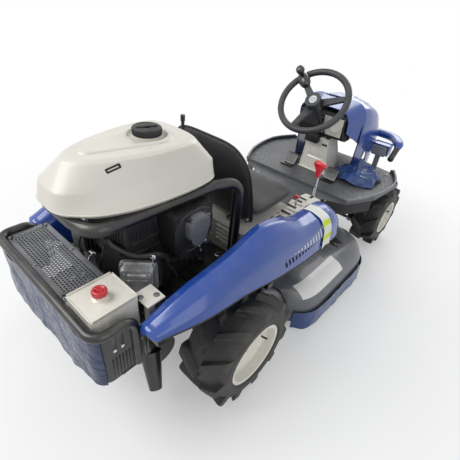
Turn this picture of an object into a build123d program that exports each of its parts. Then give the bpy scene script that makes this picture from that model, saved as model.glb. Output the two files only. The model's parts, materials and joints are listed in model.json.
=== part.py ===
"""Ride-on mower for rough grass: four lugged tyres, a twin-cylinder engine under a fuel tank at the
rear, a seat in the middle, a raised steering column and hood in front, and a blade deck between the axles.

Frame: X forward, Y to the driver's left, Z up. The origin is on the ground under the middle of the mower.
All lengths are in millimetres.
"""
import math
import os
from build123d import *

os.makedirs("parts", exist_ok=True)

# Axles and tyres
rear_axle_x = -570.0
front_axle_x = 720.0
rear_tyre_radius = 206.0
front_tyre_radius = 180.0
rear_tyre_width = 188.0
front_tyre_width = 142.0
rear_track_half = 388.0
front_track_half = 366.0
rear_rim_radius = 113.0
front_rim_radius = 88.0
lug_height = 20.0
lug_root = 42.0
lug_slant = 38.0
lug_inner_half = 12.0
lug_outer_half = 17.0
rear_lugs = 11
front_lugs = 10

# Steering
kingpin_y = 262.0
kingpin_radius = 12.0
kingpin_play = 0.05
steer_wheel_x = 350.0
steer_wheel_z = 802.0
steer_tilt = 45.0
steer_ring_radius = 162.0
steer_ring_thick = 13.0
track_arm = 92.0

# Frame
rail_y = 150.0
rail_width = 40.0
rail_height = 60.0
rail_base_z = 300.0
frame_rear_x = -950.0
frame_front_x = 900.0
rail_top_z = rail_base_z + rail_height
bed_thick = 6.0
tail_plate_x = -953.0
tail_plate_half = 230.0
tail_plate_top_z = 390.0
hitch_x = -985.0
tow_x = 962.0
hitch_hole_radius = 9.5
hitch_thick = 10.0

# Deck and blade
deck_x = 80.0
deck_radius = 478.0
deck_shoulder = 62.0
deck_plate_radius = 340.0
blade_radius = 452.0
blade_z = 62.0
blade_thick = 6.0
deck_skirt_z = 42.0
deck_fold_z = 118.0
deck_top_z = 196.0
deck_sheet = 4.0
hanger_y = 176.0
hanger_thick = 6.0
spindle_radius = 14.0

# Engine and tank
engine_x = -640.0
engine_half = 120.0
engine_top_z = 687.0
cylinder_z = 500.0
cylinder_reach = 206.0
cylinder_turn = 45.0
fin_count = 6
silencer_x = -765.0
silencer_z = 150.0
silencer_radius = 62.0
silencer_end_y = -205.0
tank_rim_z = 732.0
tank_crease_z = 790.0
tank_top_z = 852.0
tank_tube_radius = 19.0

# Rear guard
guard_x = -1017.0
guard_half = 284.0
guard_top_z = 517.0
guard_low_z = 322.0
guard_tube_radius = 14.0
guard_sheet = 3.0

# Covers, floor and seat
cover_sheet = 4.0
floor_z = 389.0
floor_sheet = 4.0
seat_half = 205.0
seat_back_top_z = 806.0


def bent(points, radius):
    """Draw straight runs through the points with a tangent arc of the radius at each inner point."""
    pts = [Vector(*p) for p in points]
    start = pts[0]
    for i in range(1, len(pts) - 1):
        a = (pts[i - 1] - pts[i]).normalized()
        b = (pts[i + 1] - pts[i]).normalized()
        half = math.acos(max(-1.0, min(1.0, a.dot(b)))) / 2
        back = radius / math.tan(half)
        inner = (a + b).normalized()
        centre = pts[i] + inner * (radius / math.sin(half))
        p = pts[i] + a * back
        q = pts[i] + b * back
        Line(start, p)
        ThreePointArc(p, centre - inner * radius, q)
        start = q
    Line(start, pts[-1])


def save(piece, name):
    """Label one solid with its plain name and write it to the parts folder."""
    piece.label = name
    export_step(piece, f"parts/{name}.step")


def mirrored(points):
    """The same outline points on the other side of the XZ plane, kept in running order."""
    return [(x, -y) for x, y in reversed(points)]


def drawn_in(points, about, inset):
    """Outline points moved by an inset towards a point on the middle line."""
    out = []
    for x, y in points:
        keep = 1 - inset / math.hypot(x - about, y)
        out.append((about + (x - about) * keep, y * keep))
    return out


# Main frame: two rails, then the members between and outside them, each a plain welded length
rail_length = frame_front_x - frame_rear_x
rail_middle = (frame_front_x + frame_rear_x) / 2
with BuildPart() as frame_rails:
    with Locations((rail_middle, rail_y, rail_base_z + rail_height / 2),
                   (rail_middle, -rail_y, rail_base_z + rail_height / 2)):
        Box(rail_length, rail_width, rail_height)
save(frame_rails.part, "frame_rails")

cross_rows = [  # x centre, length in x
    (-930.0, 40.0),
    (-640.0, 40.0),
    (-400.0, 40.0),
    (560.0, 50.0),
    (720.0, 60.0),
    (880.0, 40.0),
]
arm_rows = [  # x, y of the outer end, top z
    (-830.0, 300.0, 372.0),
    (-405.0, 385.0, 372.0),
    (-60.0, 385.0, 345.0),
]
inner_half = rail_y - rail_width / 2
outer_half = rail_y + rail_width / 2
with BuildPart() as frame_members:
    for x, dx in cross_rows:
        with Locations((x, 0, rail_base_z + rail_height / 2)):
            Box(dx, 2 * inner_half, rail_height)
    for x, reach, top in arm_rows:
        for side in (1, -1):
            with Locations((x, side * (outer_half + reach) / 2, top - 12)):
                Box(30, reach - outer_half, 24)
save(frame_members.part, "frame_members")

with BuildPart() as engine_bed:
    with Locations((-656, 0, rail_top_z + bed_thick / 2)):
        Box(528, 340, bed_thick)
save(engine_bed.part, "engine_bed")

# Tail plate with the hitch plate behind it, and the towing plate in front
with BuildPart() as hitch_plates:
    with Locations((tail_plate_x, 0, (rail_base_z + tail_plate_top_z) / 2)):
        Box(6, 2 * tail_plate_half, tail_plate_top_z - rail_base_z)
    for x0, x1, hole_x in ((-1003.0, -915.0, hitch_x), (870.0, 985.0, tow_x)):
        with BuildSketch(Plane.XY.offset(rail_base_z - hitch_thick)):
            with Locations(((x0 + x1) / 2, 0)):
                Rectangle(x1 - x0, 90)
            with Locations((hole_x, 0)):
                Circle(hitch_hole_radius, mode=Mode.SUBTRACT)
        extrude(amount=hitch_thick)
save(hitch_plates.part, "hitch_plates")

# Rear transaxle: a ribbed case under the frame with an axle tube and a shaft each side
with BuildPart() as rear_axle:
    with Locations((rear_axle_x, 0, 210)):
        Box(250, 190, 176)
    fillet(rear_axle.edges().filter_by(Axis.Y), radius=24)
    for side in (1, -1):
        with BuildSketch(Plane(origin=(rear_axle_x, side * 90, 206), z_dir=(0, side, 0))):
            Circle(44)
        extrude(amount=150)
        with BuildSketch(Plane(origin=(rear_axle_x, side * 240, 206), z_dir=(0, side, 0))):
            Circle(62)
        extrude(amount=16)
        with BuildSketch(Plane(origin=(rear_axle_x, side * 250, 206), z_dir=(0, side, 0))):
            Circle(16)
        extrude(amount=rear_track_half + 12 - 250)
    for dx in (-70, 0, 70):
        with Locations((rear_axle_x + dx, 0, 210)):
            Box(10, 214, 150)
    with Locations((rear_axle_x, 0, 299)):
        Box(140, 120, 2)
save(rear_axle.part, "rear_axle")

# Front axle: a beam hung from the frame by a centre bracket, with an eye for each kingpin
with BuildPart() as front_axle:
    with Locations((front_axle_x, 0, 194)):
        Box(60, 2 * kingpin_y - 44, 44)
    for side in (1, -1):
        with BuildSketch(Plane.XY.offset(166)):
            with Locations((front_axle_x, side * kingpin_y)):
                Circle(28)
        extrude(amount=56)
    with BuildSketch(Plane.XZ.offset(-90)):
        with Locations((front_axle_x, 0)):
            Polygon((-30, 200), (30, 200), (70, 300), (-70, 300), align=None)
    extrude(amount=180)
    for side in (1, -1):
        with BuildSketch(Plane.XY.offset(160)):
            with Locations((front_axle_x, side * kingpin_y)):
                Circle(kingpin_radius + kingpin_play)
        extrude(amount=70, mode=Mode.SUBTRACT)
save(front_axle.part, "front_axle")


def knuckle(side):
    """Steering knuckle: kingpin, two jaws, an upright, a stub shaft and the track arm behind."""
    x, y = front_axle_x, side * kingpin_y
    with BuildPart() as body:
        with BuildSketch(Plane.XY.offset(142)):
            with Locations((x, y)):
                Circle(kingpin_radius)
        extrude(amount=104)
        for z in (144.0, 224.0):
            with BuildSketch(Plane.XY.offset(z)):
                with Locations((x, y)):
                    Circle(26)
                with Locations((x, y + side * 22)):
                    Rectangle(52, 44)
            extrude(amount=20)
        with Locations((x, y + side * 38, 194)):
            Box(52, 12, 100)
        with BuildSketch(Plane(origin=(x, y + side * 40, front_tyre_radius), z_dir=(0, side, 0))):
            Circle(14)
        extrude(amount=front_track_half + 26 - kingpin_y - 40)
        with BuildSketch(Plane.XY.offset(144)):
            with BuildLine():
                Polyline((x + 10, y - 18), (x + 10, y + 18), (x - track_arm, y + 14), (x - track_arm, y - 14),
                         close=True)
            make_face()
            with Locations((x - track_arm, y)):
                Circle(16)
        extrude(amount=12)
        with BuildSketch(Plane.XY.offset(118)):
            with Locations((x - track_arm, y)):
                Circle(7)
        extrude(amount=30)
    return body.part


save(knuckle(1), "knuckle_left")
save(knuckle(-1), "knuckle_right")

# Track rod between the two arms; each eye turns on an arm's pin
rod_x = front_axle_x - track_arm
rod_y = kingpin_y
with BuildPart() as track_rod:
    with BuildSketch(Plane.XZ.offset(-(rod_y - 14))):
        with Locations((rod_x, 130)):
            Circle(9)
    extrude(amount=2 * (rod_y - 14))
    for side in (1, -1):
        with BuildSketch(Plane.XY.offset(120)):
            with Locations((rod_x, side * rod_y)):
                Circle(17)
        extrude(amount=20)
    for side in (1, -1):
        with BuildSketch(Plane.XY.offset(118)):
            with Locations((rod_x, side * rod_y)):
                Circle(7.05)
        extrude(amount=24, mode=Mode.SUBTRACT)
save(track_rod.part, "track_rod")


def tyre(x, y, z, radius, width, rim, lugs):
    """Lugged tyre about the Y axis: a carcass and two rows of slanted tapered bars that meet in a chevron."""
    half = width / 2
    base = radius - lug_height
    slant = math.radians(lug_slant)
    reach = (half * 0.46 - lug_outer_half * math.sin(slant)) / math.cos(slant)
    tip = reach * math.sin(slant) + lug_outer_half * math.cos(slant)
    top_radius = math.sqrt(radius**2 - tip**2)
    with BuildPart() as body:
        with BuildSketch(Plane.YZ):
            Polygon((-half * 0.80, rim), (-half * 0.95, rim + 16), (-half * 0.97, (rim + base) / 2 + 10),
                    (-half * 0.84, base - 12), (-half * 0.40, base), (half * 0.40, base),
                    (half * 0.84, base - 12), (half * 0.97, (rim + base) / 2 + 10), (half * 0.95, rim + 16),
                    (half * 0.80, rim), align=None)
        revolve(axis=Axis.Y)
        step = 360.0 / lugs
        for side in (1, -1):
            for i in range(lugs):
                angle = math.radians((i + (0.25 if side > 0 else 0.75)) * step)
                out = Vector(math.cos(angle), 0, math.sin(angle))
                round_way = Vector(-math.sin(angle), 0, math.cos(angle))
                along = Vector(0, side, 0) * math.cos(slant) - round_way * math.sin(slant)
                top = out * top_radius + Vector(0, side * half * 0.54, 0)
                with BuildSketch(Plane(origin=top, x_dir=along, z_dir=out)):
                    Polygon((-reach, -lug_inner_half), (reach, -lug_outer_half), (reach, lug_outer_half),
                            (-reach, lug_inner_half), align=None)
                extrude(amount=-lug_root)
    return body.part.moved(Location((x, y, z)))


def rim(x, y, z, width, rim_radius, bore, side):
    """Pressed wheel about the Y axis: barrel with two lips, a dished disc and a hub with a running bore."""
    half = width / 2
    edge = half * 0.80
    hub_at = half * 0.28
    dish_at = half * 0.52
    with BuildPart() as body:
        with BuildSketch(Plane.YZ):
            Polygon((-edge, rim_radius - 4), (edge, rim_radius - 4), (edge, rim_radius), (-edge, rim_radius),
                    align=None)
            for end in (1, -1):
                Polygon((end * (edge - 6), rim_radius - 4), (end * (edge - 6), rim_radius),
                        (end * edge, rim_radius), (end * (edge + 7), rim_radius + 7 * 16 / (half * 0.16)),
                        (end * (edge + 10), rim_radius + 7), (end * (edge + 10), rim_radius - 4), align=None)
            Polygon((side * hub_at, 30), (side * hub_at, 52), (side * dish_at, rim_radius - 22),
                    (side * dish_at, rim_radius - 3), (side * (dish_at + 5), rim_radius - 3),
                    (side * (dish_at + 5), rim_radius - 24), (side * (hub_at + 5), 50),
                    (side * (hub_at + 5), 30), align=None)
            Polygon((side * (hub_at - 28), bore), (side * (hub_at - 28), 32), (side * (hub_at + 14), 32),
                    (side * (hub_at + 14), bore), align=None)
        revolve(axis=Axis.Y)
    return body.part.moved(Location((x, y, z)))


corner_rows = [  # name, x, track half, tyre radius, tyre width, rim radius, bore, lugs
    ("rear", rear_axle_x, rear_track_half, rear_tyre_radius, rear_tyre_width, rear_rim_radius, 16.05,
     rear_lugs),
    ("front", front_axle_x, front_track_half, front_tyre_radius, front_tyre_width, front_rim_radius, 14.05,
     front_lugs),
]
for name, x, track, radius, width, rim_radius, bore, lugs in corner_rows:
    for hand, side in (("left", 1), ("right", -1)):
        save(tyre(x, side * track, radius, radius, width, rim_radius, lugs), f"tyre_{name}_{hand}")
        save(rim(x, side * track, radius, width, rim_radius, bore, side), f"rim_{name}_{hand}")

# Deck: a round pressed shell over the blade, with a top plate and hangers that slide along the frame rails
def deck_side(inset):
    """Half section of the shell from the skirt's foot over the shoulder to its inner edge."""
    outer = deck_radius - inset
    top = deck_top_z - inset
    bend = deck_shoulder - inset
    lean = math.radians(45)
    Line((deck_x + outer, deck_skirt_z), (deck_x + outer, deck_fold_z))
    ThreePointArc((deck_x + outer, deck_fold_z),
                  (deck_x + outer - bend * (1 - math.cos(lean)), deck_fold_z + bend * math.sin(lean)),
                  (deck_x + outer - bend, deck_fold_z + bend))
    Line((deck_x + outer - bend, deck_fold_z + bend), (deck_x + deck_plate_radius, top))
    Line((deck_x + deck_plate_radius, top), (deck_x + deck_plate_radius - 40, top))


with BuildPart() as deck_shell:
    with BuildSketch(Plane.XZ):
        with BuildLine():
            deck_side(0)
            deck_side(deck_sheet)
            Line((deck_x + deck_radius, deck_skirt_z), (deck_x + deck_radius - deck_sheet, deck_skirt_z))
            Line((deck_x + deck_plate_radius - 40, deck_top_z),
                 (deck_x + deck_plate_radius - 40, deck_top_z - deck_sheet))
        make_face()
    revolve(axis=Axis((deck_x, 0, 0), (0, 0, 1)))
save(deck_shell.part, "deck_shell")

hanger_rows = (-180.0, 300.0)  # x of each pair of hangers
with BuildPart() as deck_top:
    with BuildSketch(Plane.XY.offset(deck_top_z)):
        with Locations((deck_x, 0)):
            Circle(deck_plate_radius)
    extrude(amount=deck_sheet)
    with BuildSketch(Plane.XY.offset(deck_top_z - 40)):
        with Locations((deck_x, 0)):
            Circle(48)
    extrude(amount=74)
    for x in hanger_rows:
        for side in (1, -1):
            with Locations((x, side * hanger_y, deck_top_z + 56)):
                Box(60, hanger_thick, 112)
    with BuildSketch(Plane.XY.offset(deck_skirt_z)):
        with Locations((deck_x, 0)):
            Circle(spindle_radius + 0.05)
    extrude(amount=260, mode=Mode.SUBTRACT)
save(deck_top.part, "deck_top")

# Blade: a bar with lifted tips on a spindle, with the belt pulley above the deck
with BuildPart() as blade:
    with Locations((deck_x, 0, blade_z)):
        Box(64, 2 * blade_radius - 120, blade_thick)
    for side in (1, -1):
        with BuildSketch(Plane.YZ.offset(deck_x - 32)):
            Polygon((side * (blade_radius - 60), blade_z - 3), (side * (blade_radius - 60), blade_z + 3),
                    (side * (blade_radius - 1), blade_z + 21), (side * (blade_radius - 1), blade_z + 15),
                    align=None)
        extrude(amount=64)
    with BuildSketch(Plane.XY.offset(blade_z - 12)):
        with Locations((deck_x, 0)):
            Circle(36)
    extrude(amount=34)
save(blade.part, "blade")

with BuildPart() as blade_spindle:
    with BuildSketch(Plane.XY.offset(blade_z + 22)):
        with Locations((deck_x, 0)):
            Circle(spindle_radius)
    extrude(amount=160)
    with BuildSketch(Plane.XY.offset(deck_top_z + 36)):
        with Locations((deck_x, 0)):
            Circle(62)
    extrude(amount=18)
    with BuildSketch(Plane.XY.offset(deck_top_z + 41)):
        with Locations((deck_x, 0)):
            Circle(80)
            Circle(52, mode=Mode.SUBTRACT)
    extrude(amount=8, mode=Mode.SUBTRACT)
    with BuildSketch(Plane.XY.offset(deck_top_z + 41)):
        with Locations((deck_x, 0)):
            Circle(53)
    extrude(amount=8)
save(blade_spindle.part, "blade_spindle")

# Guides on the frame rails that the deck's hanger plates run behind
guide_y = hanger_y + hanger_thick + 0.3
with BuildPart() as deck_guides:
    for x in hanger_rows:
        for side in (1, -1):
            with Locations((x, side * guide_y, 312)):
                Box(96, hanger_thick, 66)
            for dx in (-42, 42):
                with Locations((x + dx, side * (guide_y - 4.5), 330)):
                    Box(12, 15, 30)
save(deck_guides.part, "deck_guides")

# Engine: crankcase, blower housing and two finned cylinders that point back and out, each with a rocker cover
turn = math.radians(180 - cylinder_turn)
with BuildPart() as engine_block:
    with Locations((engine_x, 0, (rail_top_z + bed_thick + 0.3 + 494) / 2)):
        Box(300, 250, 494 - rail_top_z - bed_thick - 0.3)
    with Locations((engine_x, 0, (494 + engine_top_z) / 2)):
        Box(320, 2 * engine_half, engine_top_z - 494)
    for side in (1, -1):
        out = Vector(math.cos(turn), side * math.sin(turn), 0)
        root = Vector(engine_x, 0, cylinder_z)
        with BuildSketch(Plane(origin=root + out * 60, z_dir=out)):
            RectangleRounded(84, 84, 12)
        extrude(amount=cylinder_reach - 60)
        for i in range(fin_count):
            with BuildSketch(Plane(origin=root + out * (cylinder_reach - 12 - 13 * i), z_dir=out)):
                RectangleRounded(122, 122, 16)
            extrude(amount=5)
save(engine_block.part, "engine_block")

with BuildPart() as rocker_cover:
    for side in (1, -1):
        out = Vector(math.cos(turn), side * math.sin(turn), 0)
        seat_at = Vector(engine_x, 0, cylinder_z) + out * (cylinder_reach + 0.3)
        with BuildSketch(Plane(origin=seat_at, z_dir=out)):
            RectangleRounded(112, 112, 18)
        extrude(amount=12)
        with BuildSketch(Plane(origin=seat_at + out * 12, z_dir=out)):
            RectangleRounded(102, 102, 16)
        extrude(amount=26, taper=12)
save(rocker_cover.part, "rocker_cover")

with BuildPart() as air_cleaner:
    with BuildSketch(Plane.XZ.offset(engine_half + 0.3)):
        Polygon((-690, 545), (-560, 545), (-535, 580), (-535, 685), (-690, 685), align=None)
    extrude(amount=78)
    fillet(air_cleaner.edges().filter_by(Axis.Y), radius=14)
    with BuildSketch(Plane.XZ.offset(engine_half + 78.3)):
        with BuildLine():
            Polyline((-652, 672), (-652, 600))
            ThreePointArc((-652, 600), (-612, 560), (-572, 600))
            Polyline((-572, 600), (-572, 672), (-652, 672))
        make_face()
    extrude(amount=26, taper=10)
save(air_cleaner.part, "air_cleaner")

# Silencer across the machine behind the transaxle, hung from the engine bed, with a tapered outlet
with BuildPart() as silencer:
    with BuildSketch(Plane.XZ.offset(-silencer_end_y)):
        with Locations((silencer_x, silencer_z)):
            Circle(silencer_radius)
    extrude(amount=silencer_end_y - 130)
    with BuildSketch(Plane.XY.offset(silencer_z)):
        with Locations((silencer_x, 60)):
            Circle(17)
    extrude(amount=rail_top_z - silencer_z)
    outlet = Vector(-800, -188, 168)
    drop = Vector(-840, -262, 66) - outlet
    with BuildSketch(Plane(origin=outlet, z_dir=drop)):
        Circle(38)
    with BuildSketch(Plane(origin=outlet + drop, z_dir=drop)):
        Circle(22)
    loft()
save(silencer.part, "silencer")

# Fuel tank: a moulded body in belts from the rim to the crown, with a raised drop round the filler
tank_belts = [  # height, then half outline from the rear middle to the front middle
    (tank_rim_z - 8,
     [(-936, 0), (-936, 46), (-908, 80), (-866, 122), (-750, 160), (-545, 168), (-482, 138), (-472, 0)]),
    (tank_rim_z + 8,
     [(-950, 0), (-950, 50), (-922, 88), (-875, 134), (-755, 174), (-540, 182), (-470, 150), (-458, 0)]),
    (tank_crease_z,
     [(-938, 0), (-938, 48), (-908, 80), (-801, 120), (-661, 149), (-505, 156), (-472, 130), (-464, 0)]),
    (tank_top_z - 7,
     [(-890, 0), (-866, 46), (-804, 84), (-700, 112), (-640, 120), (-551, 122), (-505, 95), (-492, 0)]),
    (tank_top_z,
     [(-872, 0), (-850, 40), (-794, 72), (-696, 98), (-640, 106), (-556, 108), (-518, 84), (-506, 0)]),
]
filler_x = -622.0
drop_tail_x = -812.0
drop_radius = 76.0
drop_tail_radius = 24.0


def both(points):
    """Close a half outline with its mirror image."""
    return points + [(x, -y) for x, y in reversed(points[1:-1])]


with BuildPart() as fuel_tank:
    for (z0, low), (z1, high) in zip(tank_belts, tank_belts[1:]):
        with BuildSketch(Plane.XY.offset(z0)):
            Polygon(*both(low), align=None)
        with BuildSketch(Plane.XY.offset(z1)):
            Polygon(*both(high), align=None)
        loft(ruled=True)
    with BuildSketch(Plane.XY.offset(tank_top_z)):
        with BuildLine():
            nx = (drop_tail_radius - drop_radius) / (filler_x - drop_tail_x)
            ny = math.sqrt(1 - nx * nx)
            big = (filler_x + drop_radius * nx, drop_radius * ny)
            small = (drop_tail_x + drop_tail_radius * nx, drop_tail_radius * ny)
            Line(big, small)
            ThreePointArc(small, (drop_tail_x - drop_tail_radius, 0), (small[0], -small[1]))
            Line((small[0], -small[1]), (big[0], -big[1]))
            ThreePointArc((big[0], -big[1]), (filler_x + drop_radius, 0), big)
        make_face()
    extrude(amount=5, dir=(0, 0, 1))
    with BuildSketch(Plane.XY.offset(tank_top_z - 6)):
        with Locations((filler_x, 0)):
            Circle(60)
            Circle(30, mode=Mode.SUBTRACT)
    extrude(amount=12, mode=Mode.SUBTRACT)
save(fuel_tank.part, "fuel_tank")

with BuildPart() as fuel_cap:
    with BuildSketch(Plane.XY.offset(tank_top_z + 5.3)):
        with Locations((filler_x, 0)):
            Circle(44)
    extrude(amount=20)
    with BuildSketch(Plane.XY.offset(tank_top_z + 25.3)):
        with Locations((filler_x, 0)):
            Circle(38)
    extrude(amount=4, taper=30)
save(fuel_cap.part, "fuel_cap")

# Tank tube: one bent tube that runs under the tank's sides and down in front of the engine
with BuildPart() as tank_tube:
    with BuildLine() as path:
        bent([(-405, -192, 372.3), (-405, -192, 705), (-500, -160, 705), (-900, -140, 705), (-915, -60, 705),
              (-915, 60, 705), (-900, 140, 705), (-500, 160, 705), (-405, 192, 705), (-405, 192, 372.3)], 45)
    with BuildSketch(Plane(origin=path.line @ 0, z_dir=path.line % 0)):
        Circle(tank_tube_radius)
    sweep(path=path.line)
save(tank_tube.part, "tank_tube")

# Rear guard: a bent tube above a folded sheet with upright slots and two hand slots at each corner
guard_slots = 20
with BuildPart() as rear_guard:
    with BuildLine() as rail:
        bent([(-905, -guard_half, 330), (-905, -guard_half, guard_top_z),
              (guard_x, -guard_half, guard_top_z), (guard_x, guard_half, guard_top_z),
              (-905, guard_half, guard_top_z), (-905, guard_half, 330)], 38)
    with BuildSketch(Plane(origin=rail.line @ 0, z_dir=rail.line % 0)):
        Circle(guard_tube_radius)
    sweep(path=rail.line)
    with BuildSketch(Plane.XY.offset(guard_low_z)):
        with Locations((-860, 0)):
            RectangleRounded(2 * (-860 - guard_x) + guard_sheet, 2 * guard_half + guard_sheet, 38)
            RectangleRounded(2 * (-860 - guard_x) - guard_sheet, 2 * guard_half - guard_sheet, 36,
                             mode=Mode.SUBTRACT)
        with Locations((-760, 0)):
            Rectangle(290, 700, mode=Mode.SUBTRACT)
    extrude(amount=guard_top_z - guard_low_z)
    for side in (1, -1):
        with Locations((-986.4, side * 150, guard_low_z + 20)):
            Box(60.2, 30, 20)
    with BuildSketch(Plane.YZ.offset(guard_x)):
        for z, height in ((350.0, 44.0), (430.0, 60.0)):
            with Locations((0, z + height / 2)):
                with GridLocations(24, 1, guard_slots, 1):
                    Rectangle(8, height)
    extrude(amount=8, both=True, mode=Mode.SUBTRACT)
    with BuildSketch(Plane.XZ):
        for x in (-968.0, -945.0):
            with Locations((x, 460)):
                Rectangle(10, 60)
    extrude(amount=guard_half + 8, both=True, mode=Mode.SUBTRACT)
save(rear_guard.part, "rear_guard")

# Screen plate inside the guard's tube, with rows of holes
screen_z = 509.0
with BuildPart() as rear_screen:
    with BuildSketch(Plane.XY.offset(screen_z)):
        with Locations((-936, 78)):
            RectangleRounded(134.8, 383, 26)
            with GridLocations(13.5, 17.5, 9, 21):
                Rectangle(7, 7, rotation=45, mode=Mode.SUBTRACT)
    extrude(amount=3)
save(rear_screen.part, "rear_screen")

with BuildPart() as oil_box:
    with Locations((-931, -186, 465)):
        Box(139, 126, 149.4)
    fillet(oil_box.edges().filter_by(Axis.Z), radius=8)
    with BuildSketch(Plane.XY.offset(539)):
        with Locations((-935, -186)):
            Circle(15)
    extrude(amount=13)
save(oil_box.part, "oil_box")

with BuildPart() as oil_cap:
    with BuildSketch(Plane.XY.offset(552.3)):
        with Locations((-935, -186)):
            Circle(21)
    extrude(amount=16)
save(oil_cap.part, "oil_cap")

with BuildPart() as cover_bracket:
    with Locations((-828, -250, 515)):
        Box(60, 66, 5)
    with Locations((-830, -250, 442.4)):
        Box(20, 24, 140.2)
save(cover_bracket.part, "cover_bracket")


def sheet_ring(points, thick):
    """Closed outline of a folded sheet: the outer points and the same points moved inwards by the sheet."""
    inner = []
    for i, (u, v) in enumerate(points):
        a = points[max(0, i - 1)]
        b = points[min(len(points) - 1, i + 1)]
        du, dv = b[0] - a[0], b[1] - a[1]
        size = math.hypot(du, dv)
        inner.append((u + dv / size * thick, v - du / size * thick))
    return points + inner[::-1]


# Side covers over the rear tyres: stations along X, each with the sheet's outer points from the inner foot
cover_rows = [  # x, then (distance from the middle, height) pairs
    (-884.0, [(284, 430), (284, 474), (300, 500), (322, 508), (344, 506), (362, 498), (370, 484)]),
    (-790.0, [(284, 372.3), (284, 504), (302, 532), (330, 545), (364, 538), (390, 516), (400, 490)]),
    (-560.0, [(284, 372.3), (284, 536), (302, 566), (334, 582), (372, 566), (400, 528), (410, 458)]),
    (-430.0, [(284, 372.3), (284, 566), (302, 600), (336, 612), (378, 580), (406, 530), (417, 434)]),
    (-330.0, [(284, 372.3), (284, 552), (302, 584), (338, 592), (382, 566), (409, 518), (419, 418)]),
    (-230.0, [(284, 345.3), (284, 520), (302, 544), (340, 552), (384, 536), (411, 502), (420, 404)]),
    (-90.0, [(284, 345.3), (284, 506), (302, 526), (340, 530), (384, 514), (409, 478), (417, 394)]),
    (30.0, [(284, 345.3), (284, 488), (302, 504), (340, 506), (380, 488), (404, 454), (412, 388)]),
    (88.0, [(290, 362), (290, 440), (304, 452), (338, 452), (368, 438), (386, 416), (392, 386)]),
]
vent_rows = [  # x of the lower end, height of the slot
    (-382 + 20 * i, 24 + 1.6 * i) for i in range(14)
]
vent_foot_z = 446.0
vent_lean = 24.0
for hand, side in (("left", 1), ("right", -1)):
    with BuildPart() as cover:
        for x, points in cover_rows:
            ring = sheet_ring([(u, v) for u, v in points], cover_sheet)
            with BuildSketch(Plane.YZ.offset(x)):
                Polygon(*[(side * u, v) for u, v in ring], align=None)
        loft(ruled=True)
        with BuildSketch(Plane.XZ.offset(-side * 395)):
            for x, height in vent_rows:
                with Locations((x + height * 0.2, vent_foot_z + height / 2)):
                    Rectangle(6, height, rotation=-vent_lean)
        extrude(amount=-side * 40, mode=Mode.SUBTRACT)
    save(cover.part, f"cover_{hand}")

# Console with the lift lever, inside the right cover's front
with BuildPart() as lever_console:
    with BuildSketch(Plane.XZ.offset(214)):
        Polygon((-150, 400), (-150, 476), (-60, 510), (60, 494), (96, 462), (96, 400), align=None)
    extrude(amount=69.5)
    with Locations((56, -250, 490)):
        Box(50, 16, 70, mode=Mode.SUBTRACT)
    for x in (-110.0, -70.0, -30.0):
        with Locations((x, -250, 500)):
            Box(8, 44, 60, mode=Mode.SUBTRACT)
    with Locations((-60, -232, 373.15)):
        Box(60, 20, 55.7)
save(lever_console.part, "lever_console")

with BuildPart() as lift_lever:
    with BuildLine() as stem:
        Line((64, -250, 455.3), (56, -250, 618))
    with BuildSketch(Plane(origin=stem.line @ 0, z_dir=stem.line % 0)):
        Circle(6)
    sweep(path=stem.line)
    with BuildSketch(Plane.XY.offset(612)):
        with Locations((56, -250)):
            Circle(9)
    with BuildSketch(Plane.XY.offset(640)):
        with Locations((56, -250)):
            RectangleRounded(24, 44, 11)
    loft()
    with BuildSketch(Plane.XY.offset(640)):
        with Locations((56, -250)):
            RectangleRounded(24, 44, 11)
    extrude(amount=14, taper=12)
save(lift_lever.part, "lift_lever")

# Seat base, slide rails and seat
with BuildPart() as seat_base:
    with BuildSketch(Plane.XZ.offset(-212)):
        Polygon((-380, 360.3), (-380, 480), (-70, 480), (-50, 360.3), align=None)
    extrude(amount=424)
    with BuildSketch(Plane.XZ.offset(-208)):
        Polygon((-376, 350), (-376, 476), (-74, 476), (-54, 350), align=None)
    extrude(amount=416, mode=Mode.SUBTRACT)
save(seat_base.part, "seat_base")

with BuildPart() as seat_rails:
    for side in (1, -1):
        with Locations((-200, side * 120, 488.5)):
            Box(300, 34, 16.4)
save(seat_rails.part, "seat_rails")

with BuildPart() as seat:
    with BuildSketch(Plane.XZ.offset(-seat_half)):
        Polygon((-296, 497), (-60, 497), (-28, 512), (-25, 540), (-60, 560), (-150, 552), (-262, 546),
                (-298, 524), align=None)
    extrude(amount=2 * seat_half)
    with BuildSketch(Plane.XY.offset(480)):
        with Locations((-161.5, 0)):
            RectangleRounded(273, 2 * seat_half, 40)
    extrude(amount=100, mode=Mode.INTERSECT)
save(seat.part, "seat")

with BuildPart() as seat_back:
    with BuildSketch(Plane.XZ.offset(-seat_half)):
        Polygon((-330, 497), (-300, 497), (-300, 560), (-318, 620), (-344, seat_back_top_z - 14),
                (-362, seat_back_top_z), (-386, seat_back_top_z - 6), (-396, seat_back_top_z - 26),
                (-352, 560), align=None)
    extrude(amount=2 * seat_half)
    with BuildSketch(Plane.YZ.offset(-500)):
        with BuildLine():
            Polyline((-seat_half, 640), (-seat_half, 480), (seat_half, 480), (seat_half, 640),
                     (190, seat_back_top_z - 50))
            ThreePointArc((190, seat_back_top_z - 50), (160, seat_back_top_z - 16), (115, seat_back_top_z))
            Line((115, seat_back_top_z), (-115, seat_back_top_z))
            ThreePointArc((-115, seat_back_top_z), (-160, seat_back_top_z - 16), (-190, seat_back_top_z - 50))
            Line((-190, seat_back_top_z - 50), (-seat_half, 640))
        make_face()
    extrude(amount=500, mode=Mode.INTERSECT)
save(seat_back.part, "seat_back")

with BuildPart() as marker_post:
    with BuildSketch(Plane.XY.offset(rail_top_z + bed_thick + 0.3)):
        with Locations((-430, 60)):
            Circle(6)
    extrude(amount=474)
    with BuildSketch(Plane.XY.offset(840)):
        with Locations((-430, 60)):
            Circle(8)
    extrude(amount=20)
save(marker_post.part, "marker_post")

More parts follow.
